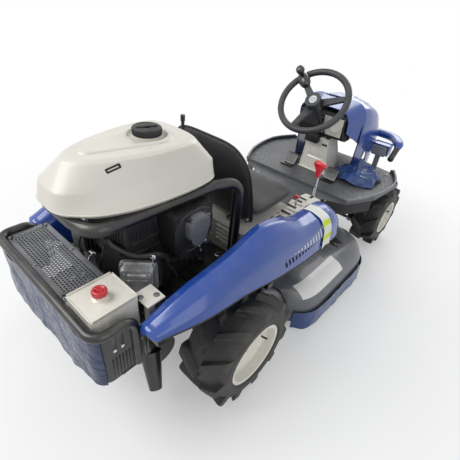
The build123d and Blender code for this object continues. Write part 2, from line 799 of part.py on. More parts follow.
# Floor pan with upturned edges over the front tyres
floor_edge = [(-48.0, 212.0), (250.0, 212.0), (302.0, 322.0), (461.0, 402.0), (706.0, 430.0), (862.0, 350.0),
              (885.0, 190.0)]
with BuildPart() as floor_pan:
    with BuildSketch(Plane.XY.offset(floor_z - floor_sheet)):
        Polygon(*(floor_edge + mirrored(floor_edge)), align=None)
    extrude(amount=floor_sheet)
    with BuildSketch(Plane.XY.offset(floor_z)):
        Polygon(*(floor_edge[2:6] + mirrored(floor_edge[2:6])), align=None)
        Polygon(*(drawn_in(floor_edge[2:6], 590, 5) + mirrored(drawn_in(floor_edge[2:6], 590, 5))),
                align=None, mode=Mode.SUBTRACT)
        with Locations((300, 0)):
            Rectangle(10, 620, mode=Mode.SUBTRACT)
        with Locations((862, 0)):
            Rectangle(14, 660, mode=Mode.SUBTRACT)
    extrude(amount=18)
    for x in (20.0, 420.0, 840.0):
        with Locations((x, 0, 372.7)):
            Box(30, 330, 24.7)
save(floor_pan.part, "floor_pan")

# Steering column, dash, dial and the steering wheel on its tilted shaft
tilt = math.radians(steer_tilt)
axis_out = Vector(-math.sin(tilt), 0, math.cos(tilt))
uphill = Vector(math.cos(tilt), 0, math.sin(tilt))
leftward = Vector(0, 1, 0)
hub = Vector(steer_wheel_x, 0, steer_wheel_z)
dash_face_x = 484.0
dash_half = 132.0
with BuildPart() as steering_column:
    with BuildSketch(Plane.XY.offset(floor_z + 0.3)):
        with Locations((590, 0)):
            Rectangle(170, 170)
    with BuildSketch(Plane.XY.offset(590)):
        with Locations((548, 0)):
            Rectangle(104, 120)
    loft(ruled=True)
    with BuildSketch(Plane.XZ.offset(-46)):
        Polygon((470, 420), (506, 470), (490, 540), (450, 540), align=None)
    extrude(amount=92, mode=Mode.SUBTRACT)
save(steering_column.part, "steering_column")

with BuildPart() as dashboard:
    with BuildSketch(Plane.XZ.offset(-dash_half)):
        Polygon((dash_face_x + 16, 604), (dash_face_x, 646), (dash_face_x, 706), (dash_face_x + 24, 728),
                (596, 748), (596, 590.3), (540, 590.3), align=None)
    extrude(amount=2 * dash_half)
    with BuildSketch(Plane(origin=hub - axis_out * 100, z_dir=axis_out * -1)):
        Circle(12.05)
    extrude(amount=178, mode=Mode.SUBTRACT)
    with BuildSketch(Plane(origin=hub - axis_out * 100, z_dir=axis_out * -1)):
        Circle(30)
    extrude(amount=70, mode=Mode.SUBTRACT)
save(dashboard.part, "dashboard")

spoke_turns = (40.0, 160.0, 280.0)
with BuildPart() as steering_wheel:
    with BuildSketch(Plane(origin=hub + uphill * steer_ring_radius, x_dir=uphill, z_dir=(0, -1, 0))):
        Circle(steer_ring_thick)
    revolve(axis=Axis(hub, axis_out))
    for spoke in spoke_turns:
        out = uphill * math.sin(math.radians(spoke)) + leftward * math.cos(math.radians(spoke))
        start = hub - axis_out * 26 + out * 18
        run = hub + out * (steer_ring_radius - 4) - start
        across = out.cross(axis_out)
        with BuildSketch(Plane(origin=start, x_dir=across, z_dir=run)):
            Rectangle(40, 14)
        with BuildSketch(Plane(origin=start + run, x_dir=across, z_dir=run)):
            Rectangle(24, 12)
        loft()
    with BuildSketch(Plane(origin=hub + axis_out * 4, z_dir=axis_out * -1)):
        Circle(38)
    extrude(amount=46)
    with BuildSketch(Plane(origin=hub, z_dir=axis_out * -1)):
        Circle(12)
    extrude(amount=262)
save(steering_wheel.part, "steering_wheel")

knob_turn = math.radians(spoke_turns[0])
knob_out = uphill * math.sin(knob_turn) + leftward * math.cos(knob_turn)
knob_foot = hub + knob_out * steer_ring_radius + axis_out * (steer_ring_thick + 0.3)
with BuildPart() as steering_knob:
    with BuildSketch(Plane(origin=knob_foot, x_dir=knob_out, z_dir=knob_out.cross(axis_out))):
        Polygon((0, 0), (14, 0), (14, 6), (9, 10), (20, 28), (22, 42), (15, 56), (0, 60), align=None)
    revolve(axis=Axis(knob_foot, axis_out))
save(steering_knob.part, "steering_knob")

with BuildPart() as dial:
    with BuildSketch(Plane(origin=(dash_face_x - 0.3, -88, 676), z_dir=(-1, 0, 0))):
        Circle(30)
    extrude(amount=9)
    with BuildSketch(Plane(origin=(dash_face_x - 9.3, -88, 676), z_dir=(-1, 0, 0))):
        Circle(26)
    extrude(amount=4, mode=Mode.SUBTRACT)
save(dial.part, "dial")

# Hood in front of the column, with a bulkhead behind and a nose in front
hood_rows = [  # x, then (distance from the middle, height) pairs from the foot to the crown
    (600.0, [(176, 389.3), (186, 655), (156, 750), (62, 788)]),
    (720.0, [(184, 389.3), (194, 648), (164, 742), (62, 778)]),
    (860.0, [(180, 389.3), (188, 596), (158, 690), (58, 728)]),
    (962.0, [(150, 440), (156, 536), (130, 606), (48, 640)]),
]
with BuildPart() as front_hood:
    for x, points in hood_rows:
        arch = [(-u, v) for u, v in points] + [(u, v) for u, v in reversed(points)]
        with BuildSketch(Plane.YZ.offset(x)):
            Polygon(*sheet_ring(arch, cover_sheet), align=None)
    loft(ruled=True)
    with BuildSketch(Plane.XZ.offset(-44)):
        Polygon((640, 782), (668, 798), (800, 762), (836, 736), align=None)
    extrude(amount=88)
    with BuildSketch(Plane.XZ):
        Polygon((700, 389), (790, 389), (790, 430), (740, 520), align=None)
    extrude(amount=210, both=True, mode=Mode.SUBTRACT)
save(front_hood.part, "front_hood")

with BuildPart() as hood_nose:
    nose = [(-u, v) for u, v in hood_rows[-1][1]] + [(u, v) for u, v in reversed(hood_rows[-1][1])]
    with BuildSketch(Plane.YZ.offset(hood_rows[-1][0] + 0.3)):
        Polygon(*nose, align=None)
    extrude(amount=5)
save(hood_nose.part, "hood_nose")

# Front bumper: a bent tube carried by two uprights from the frame
with BuildPart() as front_bumper:
    with BuildLine() as rail:
        bent([(820, -316, 480), (900, -316, 548), (1012, -236, 548), (1012, 236, 548), (900, 316, 548),
              (820, 316, 480)], 50)
    with BuildSketch(Plane(origin=rail.line @ 0, z_dir=rail.line % 0)):
        Circle(16)
    sweep(path=rail.line)
    for side in (1, -1):
        with BuildLine() as leg:
            bent([(900.3, side * 120, 332), (1012, side * 120, 332), (1012, side * 120, 548)], 45)
        with BuildSketch(Plane(origin=leg.line @ 0, z_dir=leg.line % 0)):
            Circle(14)
        sweep(path=leg.line)
save(front_bumper.part, "front_bumper")

for hand, side in (("left", 1), ("right", -1)):
    with BuildPart() as lamp:
        with BuildSketch(Plane.YZ.offset(838)):
            with Locations((side * 232, 500)):
                RectangleRounded(84, 60, 10)
        extrude(amount=60)
        with Locations((851, side * 232, 429.65)):
            Box(10, 30, 80.7)
    save(lamp.part, f"lamp_{hand}")

with BuildPart() as pedals:
    for side in (1, -1):
        with BuildSketch(Plane.XZ.offset(side * 132 - 35)):
            Polygon((430, 389.3), (470, 389.3), (505, 440), (496, 446), (462, 398), (430, 398), align=None)
        extrude(amount=70)
save(pedals.part, "pedals")
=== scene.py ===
"""Dresses the ride-on mower: finishes on its solids and the modelled surfaces around them.

The mower stands on a pale studio floor. All lengths are in metres in the solids' own frame:
X forward, Y to the driver's left, Z up, the origin on the ground under the middle of the machine.
"""
import json
import logging
import math
from dataclasses import dataclass
from enum import Enum
from typing import Sequence

import bmesh
import bpy
import numpy as np
from mathutils import Matrix, Vector


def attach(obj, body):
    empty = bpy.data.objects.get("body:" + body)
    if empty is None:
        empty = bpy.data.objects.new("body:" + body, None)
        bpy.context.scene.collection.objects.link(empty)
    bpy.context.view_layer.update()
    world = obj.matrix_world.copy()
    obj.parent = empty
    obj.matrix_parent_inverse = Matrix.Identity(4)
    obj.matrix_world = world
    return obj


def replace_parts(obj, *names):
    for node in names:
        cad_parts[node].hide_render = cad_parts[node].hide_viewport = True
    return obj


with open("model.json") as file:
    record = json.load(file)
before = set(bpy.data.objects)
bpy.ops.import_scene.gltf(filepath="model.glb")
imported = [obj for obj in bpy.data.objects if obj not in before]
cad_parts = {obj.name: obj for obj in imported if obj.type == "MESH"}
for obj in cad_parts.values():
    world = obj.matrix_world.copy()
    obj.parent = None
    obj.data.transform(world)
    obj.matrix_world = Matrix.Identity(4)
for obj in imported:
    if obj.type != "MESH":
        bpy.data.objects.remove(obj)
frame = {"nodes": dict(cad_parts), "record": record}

LOG = logging.getLogger("mower")
NODES = frame["nodes"]
Colour = tuple[float, float, float]
Array = np.ndarray
UP = (0.0, 0.0, 1.0)


def shade(red: int, green: int, blue: int) -> Colour:
    """Turn a display colour into the linear one that shaders take.

    Args:
        red: Red from 0 to 255.
        green: Green from 0 to 255.
        blue: Blue from 0 to 255.

    Returns:
        The linear colour.
    """
    part = np.array([red, green, blue]) / 255.0
    low = part / 12.92
    high = ((part + 0.055) / 1.055) ** 2.4
    return tuple(np.where(part <= 0.04045, low, high).tolist())


PAINT_DUST = shade(196, 188, 172)
PLASTIC_DUST = shade(190, 184, 170)
VINYL_DUST = shade(150, 146, 138)


class Recipe:
    """Builds one material: a shader with short calls for the textures that feed it."""

    def __init__(self, name: str) -> None:
        """Start an empty material with a shader wired to its output.

        Args:
            name: The material's name.
        """
        self.material = bpy.data.materials.new(name)
        self.material.use_nodes = True
        self.tree = self.material.node_tree
        self.shader = self.tree.nodes["Principled BSDF"]
        self.place = self.add("ShaderNodeTexCoord").outputs["Object"]

    def add(self, kind: str, **settings: object) -> bpy.types.Node:
        """Add a node and set its properties.

        Args:
            kind: The node's type name.
            **settings: Properties of the node.

        Returns:
            The new node.
        """
        node = self.tree.nodes.new(kind)
        for key, value in settings.items():
            setattr(node, key, value)
        return node

    def link(self, source: bpy.types.NodeSocket, target: bpy.types.NodeSocket) -> None:
        """Wire one socket to another."""
        self.tree.links.new(source, target)

    def fix(self, **values: object) -> None:
        """Set plain values on the shader's sockets, with underscores for spaces in their names."""
        for key, value in values.items():
            self.shader.inputs[key.replace("_", " ")].default_value = value

    def stretched(self, scale: Sequence[float], turn: Sequence[float] = (0, 0, 0)) -> bpy.types.NodeSocket:
        """Place coordinates stretched and turned, for streaks and rows.

        Args:
            scale: Factors along X, Y and Z.
            turn: Turns about X, Y and Z in radians.

        Returns:
            The coordinates' socket.
        """
        node = self.add("ShaderNodeMapping")
        node.inputs["Scale"].default_value = scale
        node.inputs["Rotation"].default_value = turn
        self.link(self.place, node.inputs["Vector"])
        return node.outputs["Vector"]

    def noise(self, scale: float, detail: float = 4.0, rough: float = 0.55,
              at: bpy.types.NodeSocket | None = None) -> bpy.types.NodeSocket:
        """Cloudy noise from 0 to 1.

        Args:
            scale: Cells in a metre.
            detail: Octaves.
            rough: How strong the fine octaves are.
            at: Coordinates, or the object's own.

        Returns:
            The value's socket.
        """
        node = self.add("ShaderNodeTexNoise")
        node.inputs["Scale"].default_value = scale
        node.inputs["Detail"].default_value = detail
        node.inputs["Roughness"].default_value = rough
        self.link(at or self.place, node.inputs["Vector"])
        return node.outputs["Fac"]

    def cells(self, scale: float, feature: str = "F1") -> bpy.types.NodeSocket:
        """Distance inside scattered cells.

        Args:
            scale: Cells in a metre.
            feature: Which distance, as the texture names it.

        Returns:
            The distance's socket.
        """
        node = self.add("ShaderNodeTexVoronoi", feature=feature)
        node.inputs["Scale"].default_value = scale
        self.link(self.place, node.inputs["Vector"])
        return node.outputs["Distance"]

    def span(self, value: bpy.types.NodeSocket, low: float, high: float, start: float = 0.0,
             end: float = 1.0) -> bpy.types.NodeSocket:
        """Stretch a value's range, held at its ends.

        Args:
            value: The value's socket.
            low: The value that gives start.
            high: The value that gives end.
            start: The result at low.
            end: The result at high.

        Returns:
            The result's socket.
        """
        node = self.add("ShaderNodeMapRange")
        for key, number in (("From Min", low), ("From Max", high), ("To Min", start), ("To Max", end)):
            node.inputs[key].default_value = number
        self.link(value, node.inputs["Value"])
        return node.outputs["Result"]

    def times(self, first: bpy.types.NodeSocket, second: bpy.types.NodeSocket | float,
              operation: str = "MULTIPLY") -> bpy.types.NodeSocket:
        """Combine two values by a plain operation.

        Args:
            first: The first value's socket.
            second: The second value or its socket.
            operation: The operation's name.

        Returns:
            The result's socket.
        """
        node = self.add("ShaderNodeMath", operation=operation)
        self.link(first, node.inputs[0])
        if isinstance(second, (int, float)):
            node.inputs[1].default_value = second
        else:
            self.link(second, node.inputs[1])
        return node.outputs[0]

    def blend(self, share: bpy.types.NodeSocket, first: Colour | bpy.types.NodeSocket,
              second: Colour | bpy.types.NodeSocket) -> bpy.types.NodeSocket:
        """Mix two colours.

        Args:
            share: How much of the second colour, from 0 to 1.
            first: A colour or its socket.
            second: A colour or its socket.

        Returns:
            The mixed colour's socket.
        """
        node = self.add("ShaderNodeMix", data_type="RGBA")
        self.link(share, node.inputs["Factor"])
        for slot, colour in ((6, first), (7, second)):
            if isinstance(colour, tuple):
                node.inputs[slot].default_value = (*colour, 1.0)
            else:
                self.link(colour, node.inputs[slot])
        return node.outputs[2]

    def bump(self, height: bpy.types.NodeSocket, depth: float, strength: float = 1.0,
             under: bpy.types.NodeSocket | None = None) -> bpy.types.NodeSocket:
        """Roughen the surface's normal by a height.

        Args:
            height: The height's socket, from 0 to 1.
            depth: What a height of 1 is in metres.
            strength: How much of it shows.
            under: The normal below it.

        Returns:
            The normal's socket.
        """
        node = self.add("ShaderNodeBump")
        node.inputs["Distance"].default_value = depth
        node.inputs["Strength"].default_value = strength
        self.link(height, node.inputs["Height"])
        if under is not None:
            self.link(under, node.inputs["Normal"])
        return node.outputs["Normal"]

    def wear(self, scale: float, share: float) -> bpy.types.NodeSocket:
        """Small scattered chips: the peaks of a fine noise inside the peaks of a coarse one.

        Args:
            scale: Cells of the fine noise in a metre.
            share: How many chips there are, from 0 to 1.

        Returns:
            The mask's socket.
        """
        place = self.span(self.noise(9.0, 3.0, 0.6), 0.66 - share * 0.08, 0.70 - share * 0.08)
        fleck = self.span(self.noise(scale, 4.0, 0.7), 0.68 - share * 0.06, 0.72 - share * 0.06)
        return self.times(place, fleck)

    def dust(self, amount: float) -> bpy.types.NodeSocket:
        """Where dust lies: on faces that look up, in patches.

        Args:
            amount: The mask's highest value.

        Returns:
            The mask's socket.
        """
        split = self.add("ShaderNodeSeparateXYZ")
        self.link(self.add("ShaderNodeNewGeometry").outputs["Normal"], split.inputs[0])
        up = self.span(split.outputs["Z"], 0.2, 1.0)
        patch = self.span(self.noise(14.0, 5.0, 0.65), 0.42, 0.72)
        return self.times(self.times(up, patch), amount)

    def finish(self, colour: bpy.types.NodeSocket, rough: bpy.types.NodeSocket,
               normal: bpy.types.NodeSocket) -> bpy.types.Material:
        """Wire the three main results to the shader.

        Args:
            colour: The base colour's socket.
            rough: The roughness's socket.
            normal: The normal's socket.

        Returns:
            The finished material.
        """
        self.link(colour, self.shader.inputs["Base Color"])
        self.link(rough, self.shader.inputs["Roughness"])
        self.link(normal, self.shader.inputs["Normal"])
        return self.material


@dataclass(frozen=True)
class PaintFinish:
    """Sprayed paint: a faint orange peel, dust in patches and chips on the edges.

    Attributes:
        name: The material's name.
        colour: The paint's colour.
        chip: The colour that shows where it has chipped.
        rough: Its roughness.
        coat: How much clear gloss lies over it.
        peel: Depth of the orange peel in metres.
        worn: How much of the edges is chipped.
        dusty: How much dust lies on top.
    """

    name: str
    colour: Colour
    chip: Colour = (0.10, 0.10, 0.11)
    rough: float = 0.32
    coat: float = 0.3
    peel: float = 0.00012
    worn: float = 0.35
    dusty: float = 0.12

    def make(self) -> bpy.types.Material:
        """Build the material.

        Returns:
            The material.
        """
        kit = Recipe(self.name)
        kit.fix(Coat_Weight=self.coat, Coat_Roughness=0.08, IOR=1.5)
        tone = kit.noise(3.0, 3.0)
        darker = tuple(0.88 * part for part in self.colour)
        colour = kit.blend(kit.span(tone, 0.3, 0.7), darker, self.colour)
        dust = kit.dust(self.dusty)
        colour = kit.blend(dust, colour, PAINT_DUST)
        chips = kit.wear(70.0, self.worn)
        colour = kit.blend(chips, colour, self.chip)
        rough = kit.times(kit.span(kit.noise(45.0, 5.0), 0.3, 0.7, self.rough * 0.85, self.rough * 1.2),
                          kit.times(dust, 0.8), "ADD")
        normal = kit.bump(kit.noise(420.0, 2.0), self.peel)
        normal = kit.bump(chips, 0.0004, 0.6, normal)
        return kit.finish(colour, rough, normal)


@dataclass(frozen=True)
class MouldedFinish:
    """Moulded plastic: a fine grain, soft flow marks and small scuffs.

    Attributes:
        name: The material's name.
        colour: The plastic's colour.
        rough: Its roughness.
        grain: Depth of the grain in metres.
        grain_scale: Grains in a metre.
        coat: How glossy its skin is.
        scuff: The colour of scuffs.
        scuffed: How much scuffing shows.
        dusty: How much dust lies on top.
    """

    name: str
    colour: Colour
    rough: float = 0.42
    grain: float = 0.0002
    grain_scale: float = 900.0
    coat: float = 0.0
    scuff: Colour = (0.30, 0.30, 0.30)
    scuffed: float = 0.2
    dusty: float = 0.10

    def make(self) -> bpy.types.Material:
        """Build the material.

        Returns:
            The material.
        """
        kit = Recipe(self.name)
        kit.fix(Coat_Weight=self.coat, Coat_Roughness=0.06, IOR=1.48)
        flow = kit.noise(2.2, 2.0, 0.4, kit.stretched((1.0, 2.4, 1.0)))
        darker = tuple(0.90 * part for part in self.colour)
        colour = kit.blend(kit.span(flow, 0.35, 0.65), darker, self.colour)
        dust = kit.dust(self.dusty)
        colour = kit.blend(dust, colour, PLASTIC_DUST)
        streak = kit.noise(60.0, 8.0, 0.75, kit.stretched((0.35, 2.0, 1.0), (0.3, 0.2, 0.7)))
        scuffs = kit.times(kit.span(streak, 0.66, 0.76), self.scuffed)
        colour = kit.blend(scuffs, colour, self.scuff)
        rough = kit.times(kit.span(kit.noise(30.0, 5.0), 0.3, 0.7, self.rough * 0.85, self.rough * 1.15),
                          kit.times(dust, 0.7), "ADD")
        normal = kit.bump(kit.cells(self.grain_scale), self.grain)
        return kit.finish(colour, rough, normal)


@dataclass(frozen=True)
class RubberFinish:
    """Tyre rubber: dusty hollows, a faint bloom and fine mould lines around the wheel.

    Attributes:
        name: The material's name.
        colour: The rubber's colour.
        dust_colour: The colour of the dust.
        dusty: How much dust lies in patches.
    """

    name: str
    colour: Colour = shade(36, 36, 37)
    dust_colour: Colour = shade(104, 100, 93)
    dusty: float = 0.35

    def make(self) -> bpy.types.Material:
        """Build the material.

        Returns:
            The material.
        """
        kit = Recipe(self.name)
        kit.fix(IOR=1.5)
        bloom = kit.span(kit.noise(9.0, 6.0, 0.65), 0.35, 0.75)
        colour = kit.blend(kit.times(bloom, self.dusty), self.colour, self.dust_colour)
        speck = kit.times(kit.span(kit.cells(230.0), 0.0, 0.12, 1.0, 0.0), 0.25)
        colour = kit.blend(speck, colour, self.dust_colour)
        rough = kit.span(bloom, 0.0, 1.0, 0.50, 0.82)
        normal = kit.bump(kit.noise(340.0, 6.0, 0.7), 0.0005, 0.7)
        normal = kit.bump(kit.noise(38.0, 3.0), 0.0010, 0.5, normal)
        return kit.finish(colour, rough, normal)


@dataclass(frozen=True)
class VinylFinish:
    """Seat vinyl: a pebbled leather grain with soft creases and a low sheen.

    Attributes:
        name: The material's name.
        colour: The vinyl's colour.
        grain_scale: Pebbles in a metre.
        grain: Depth of the pebbles in metres.
    """

    name: str
    colour: Colour = shade(17, 18, 20)
    grain_scale: float = 420.0
    grain: float = 0.0007

    def make(self) -> bpy.types.Material:
        """Build the material.

        Returns:
            The material.
        """
        kit = Recipe(self.name)
        kit.fix(IOR=1.48, Sheen_Weight=0.08, Sheen_Roughness=0.4)
        tone = kit.span(kit.noise(11.0, 4.0), 0.3, 0.7)
        lighter = tuple(1.35 * part for part in self.colour)
        colour = kit.blend(tone, self.colour, lighter)
        colour = kit.blend(kit.dust(0.10), colour, VINYL_DUST)
        pebble = kit.cells(self.grain_scale, "DISTANCE_TO_EDGE")
        ridge = kit.span(pebble, 0.0, 0.12)
        rough = kit.span(tone, 0.0, 1.0, 0.34, 0.48)
        normal = kit.bump(ridge, self.grain, 0.7)
        normal = kit.bump(kit.noise(26.0, 4.0, 0.6), 0.0018, 0.35, normal)
        return kit.finish(colour, rough, normal)


@dataclass(frozen=True)
class CastFinish:
    """Sand-cast metal: a rough skin with oily patches in its hollows.

    Attributes:
        name: The material's name.
        colour: The metal's colour.
        stain: The colour of the oily patches.
        metallic: How metallic it is.
        rough: Its roughness.
        skin: Depth of the cast skin in metres.
    """

    name: str
    colour: Colour
    stain: Colour = shade(48, 44, 40)
    metallic: float = 0.85
    rough: float = 0.46
    skin: float = 0.0006

    def make(self) -> bpy.types.Material:
        """Build the material.

        Returns:
            The material.
        """
        kit = Recipe(self.name)
        kit.fix(Metallic=self.metallic)
        patch = kit.span(kit.noise(22.0, 6.0, 0.7), 0.46, 0.70)
        colour = kit.blend(kit.times(patch, 0.55), self.colour, self.stain)
        rough = kit.span(kit.noise(120.0, 4.0), 0.3, 0.7, self.rough * 0.8, self.rough * 1.25)
        normal = kit.bump(kit.noise(650.0, 5.0, 0.7), self.skin, 0.6)
        return kit.finish(colour, rough, normal)


@dataclass(frozen=True)
class BrushedFinish:
    """Bare steel, drawn or turned: fine streaks and a little tarnish.

    Attributes:
        name: The material's name.
        colour: The steel's colour.
        streak: Stretch of the streaks along X, Y and Z.
        rough: Its roughness.
        tarnish: The colour of the tarnish.
        tarnished: How much tarnish shows.
    """

    name: str
    colour: Colour = shade(176, 178, 182)
    streak: tuple[float, float, float] = (1.0, 14.0, 14.0)
    rough: float = 0.30
    tarnish: Colour = shade(112, 96, 78)
    tarnished: float = 0.3

    def make(self) -> bpy.types.Material:
        """Build the material.

        Returns:
            The material.
        """
        kit = Recipe(self.name)
        kit.fix(Metallic=1.0)
        lines = kit.noise(60.0, 6.0, 0.7, kit.stretched(self.streak))
        patch = kit.times(kit.span(kit.noise(16.0, 6.0, 0.7), 0.5, 0.75), self.tarnished)
        colour = kit.blend(kit.span(lines, 0.3, 0.7), tuple(0.75 * part for part in self.colour), self.colour)
        colour = kit.blend(patch, colour, self.tarnish)
        rough = kit.times(kit.span(lines, 0.3, 0.7, self.rough * 0.7, self.rough * 1.3),
                          kit.times(patch, 0.5), "ADD")
        normal = kit.bump(lines, 0.00025, 0.5)
        return kit.finish(colour, rough, normal)


@dataclass(frozen=True)
class GaugeFinish:
    """A cream gauge face with a dark hub, ticks and two red arcs, drawn about its centre.

    Attributes:
        name: The material's name.
        centre: The face's centre.
        radius: The face's radius.
        face: The face's colour.
        arc: The arcs' colour.
        hub: The middle's colour.
        rim: The edge's colour.
    """

    name: str
    centre: tuple[float, float, float]
    radius: float
    face: Colour = shade(232, 228, 212)
    arc: Colour = shade(186, 44, 36)
    hub: Colour = shade(40, 40, 42)
    rim: Colour = shade(60, 60, 62)

    def make(self) -> bpy.types.Material:
        """Build the material: rings of a set radius, cut to arcs by the sign of the height.

        Returns:
            The material.
        """
        kit = Recipe(self.name)
        kit.fix(Coat_Weight=0.6, Coat_Roughness=0.04, IOR=1.45)
        split = kit.add("ShaderNodeSeparateXYZ")
        shift = kit.add("ShaderNodeMapping")
        shift.inputs["Location"].default_value = tuple(-part for part in self.centre)
        kit.link(kit.place, shift.inputs["Vector"])
        kit.link(shift.outputs["Vector"], split.inputs[0])
        reach = kit.add("ShaderNodeVectorMath", operation="LENGTH")
        kit.link(shift.outputs["Vector"], reach.inputs[0])
        share = kit.times(reach.outputs["Value"], 1.0 / self.radius)
        ring = kit.times(kit.span(share, 0.62, 0.64), kit.span(share, 0.74, 0.76, 1.0, 0.0))
        side = kit.span(split.outputs["Z"], 0.0, self.radius * 0.05)
        colour = kit.blend(kit.times(ring, side), self.face, self.arc)
        hub = kit.span(share, 0.14, 0.18, 1.0, 0.0)
        colour = kit.blend(hub, colour, self.hub)
        rim = kit.span(share, 0.90, 0.94)
        colour = kit.blend(rim, colour, self.rim)
        rough = kit.span(kit.noise(80.0), 0.3, 0.7, 0.25, 0.35)
        return kit.finish(colour, rough, kit.bump(kit.noise(300.0), 0.00005))


class Tone:
    """Display colours read from the machine's surfaces in plain light."""

    CREAM = shade(232, 229, 218)
    CREAM_SHADE = shade(214, 211, 201)
    BLUE = shade(30, 72, 156)
    BLACK = shade(18, 19, 22)
    DARK_GREY = shade(96, 99, 106)
    ALLOY = shade(184, 185, 187)
    RED = shade(196, 30, 42)


class Slot(Enum):
    """The record's material slots with the finish that each one gets."""

    frame_black = PaintFinish("frame_black", Tone.BLACK, chip=shade(120, 120, 122), rough=0.36)
    body_blue = PaintFinish("body_blue", Tone.BLUE, chip=shade(150, 165, 205), rough=0.24, coat=0.45,
                            peel=0.00004, worn=0.1, dusty=0.05)
    cream_paint = PaintFinish("cream_paint", Tone.CREAM, chip=shade(120, 112, 100), rough=0.28, coat=0.4,
                              worn=0.2)
    cream_plastic = MouldedFinish("cream_plastic", Tone.CREAM_SHADE, rough=0.34, grain=0.00012, coat=0.15,
                                  scuff=shade(160, 156, 146), scuffed=0.1)
    tyre_rubber = RubberFinish("tyre_rubber")
    rim_cream = PaintFinish("rim_cream", Tone.CREAM, chip=shade(110, 96, 80), rough=0.3, coat=0.3, dusty=0.2)
    black_plastic = MouldedFinish("black_plastic", Tone.BLACK, rough=0.5, grain=0.0003, scuffed=0.25)
    seat_vinyl = VinylFinish("seat_vinyl")
    bare_steel = BrushedFinish("bare_steel")
    cast_alloy = CastFinish("cast_alloy", Tone.ALLOY)
    engine_dark = CastFinish("engine_dark", shade(44, 45, 48), metallic=0.4, rough=0.5)
    deck_grey = PaintFinish("deck_grey", Tone.DARK_GREY, chip=shade(150, 150, 150), rough=0.34, coat=0.35,
                            dusty=0.2)
    red_plastic = MouldedFinish("red_plastic", Tone.RED, rough=0.28, grain=0.00008, coat=0.5, scuffed=0.08)
    dial_face = MouldedFinish("dial_face", Tone.CREAM, rough=0.3, coat=0.5)
    lamp_grey = MouldedFinish("lamp_grey", shade(150, 152, 156), rough=0.35, coat=0.2)


class Wardrobe:
    """Makes each finish once and hands it out."""

    def __init__(self) -> None:
        """Start with nothing made."""
        self.made: dict[str, bpy.types.Material] = {}

    def get(self, finish: object) -> bpy.types.Material:
        """The material of a finish, made on first use.

        Args:
            finish: The finish.

        Returns:
            Its material.
        """
        if finish.name not in self.made:
            self.made[finish.name] = finish.make()
        return self.made[finish.name]

    def dress(self, node: str, finish: object) -> None:
        """Put one finish on a carried-over solid.

        Args:
            node: The solid's name.
            finish: The finish to use.
        """
        mesh = NODES[node].data
        mesh.materials.clear()
        mesh.materials.append(self.get(finish))


WARDROBE = Wardrobe()


@dataclass(frozen=True)
class FilmFinish:
    """Thin shipping film: glossy, with sharp little creases.

    Attributes:
        name: The material's name.
        colour: The film's colour.
        rough: Its roughness.
    """

    name: str
    colour: Colour
    rough: float = 0.26

    def make(self) -> bpy.types.Material:
        """Build the material.

        Returns:
            The material.
        """
        kit = Recipe(self.name)
        kit.fix(IOR=1.42, Coat_Weight=0.12, Coat_Roughness=0.08)
        tone = kit.span(kit.noise(12.0, 5.0, 0.6), 0.3, 0.7)
        lighter = tuple(min(1.0, 1.7 * part + 0.01) for part in self.colour)
        colour = kit.blend(tone, self.colour, lighter)
        rough = kit.span(kit.noise(40.0, 4.0), 0.3, 0.7, self.rough * 0.7, self.rough * 1.5)
        crease = kit.noise(34.0, 3.0, 0.5, kit.stretched((1.0, 0.5, 1.6), (0.4, 0.6, 0.2)))
        ridge = kit.span(kit.times(kit.times(crease, 0.5, "SUBTRACT"), 0.0, "MAXIMUM"), 0.0, 0.12)
        return kit.finish(colour, rough, kit.bump(ridge, 0.0030, 0.6))


@dataclass(frozen=True)
class PaperFinish:
    """Blank tag paper with two bright patches across it.

    Attributes:
        name: The material's name.
        paper: The paper's colour.
        patch: The patches' colour.
        bands: Lowest and highest height of each patch.
    """

    name: str
    paper: Colour = shade(226, 230, 222)
    patch: Colour = shade(205, 222, 58)
    bands: tuple = ((0.428, 0.452), (0.488, 0.506))

    def make(self) -> bpy.types.Material:
        """Build the material: patches are bands of the height with soft ends.

        Returns:
            The material.
        """
        kit = Recipe(self.name)
        kit.fix(IOR=1.4)
        split = kit.add("ShaderNodeSeparateXYZ")
        kit.link(kit.place, split.inputs[0])
        colour = kit.blend(kit.span(kit.noise(60.0, 5.0), 0.3, 0.7),
                           tuple(0.93 * part for part in self.paper), self.paper)
        for low, high in self.bands:
            band = kit.times(kit.span(split.outputs["Z"], low, low + 0.001),
                             kit.span(split.outputs["Z"], high - 0.001, high, 1.0, 0.0))
            colour = kit.blend(band, colour, self.patch)
        rough = kit.span(kit.noise(90.0), 0.3, 0.7, 0.55, 0.75)
        return kit.finish(colour, rough, kit.bump(kit.noise(220.0, 5.0, 0.7), 0.0003, 0.6))


DULL_ZINC = BrushedFinish("dull_zinc", shade(146, 147, 148), (1.0, 1.0, 1.0), 0.42)
BRIGHT_STEEL = BrushedFinish("bright_steel", shade(206, 208, 211), (1.0, 3.0, 3.0), 0.24, tarnished=0.12)
SHIELD_GREY = MouldedFinish("shield_grey", shade(92, 94, 99), rough=0.46, grain=0.0002)
HOSE_BLACK = MouldedFinish("hose_black", shade(32, 32, 33), rough=0.46, grain=0.0001, grain_scale=1500.0)
CAP_SILVER = MouldedFinish("cap_silver", shade(196, 198, 202), rough=0.28, grain=0.00006, coat=0.4)
KNOB_GLOSS = MouldedFinish("knob_gloss", shade(40, 41, 44), rough=0.30, grain=0.00005, coat=0.5, scuffed=0.1)
DARK_HUB = MouldedFinish("dark_hub", shade(34, 34, 36), rough=0.4)
FLOOR_GREY = MouldedFinish("floor_grey", shade(84, 86, 90), rough=0.42, grain=0.0003)
# Lighter grey of the floor's rolled edges: a painted highlight along the raised rim.
EDGE_HIGHLIGHT_GREY = MouldedFinish("edge_painted_highlight", shade(112, 115, 121), rough=0.34, grain=0.0002)
WHEEL_GREY = MouldedFinish("wheel_grey", shade(50, 52, 55), rough=0.44, grain=0.0002)
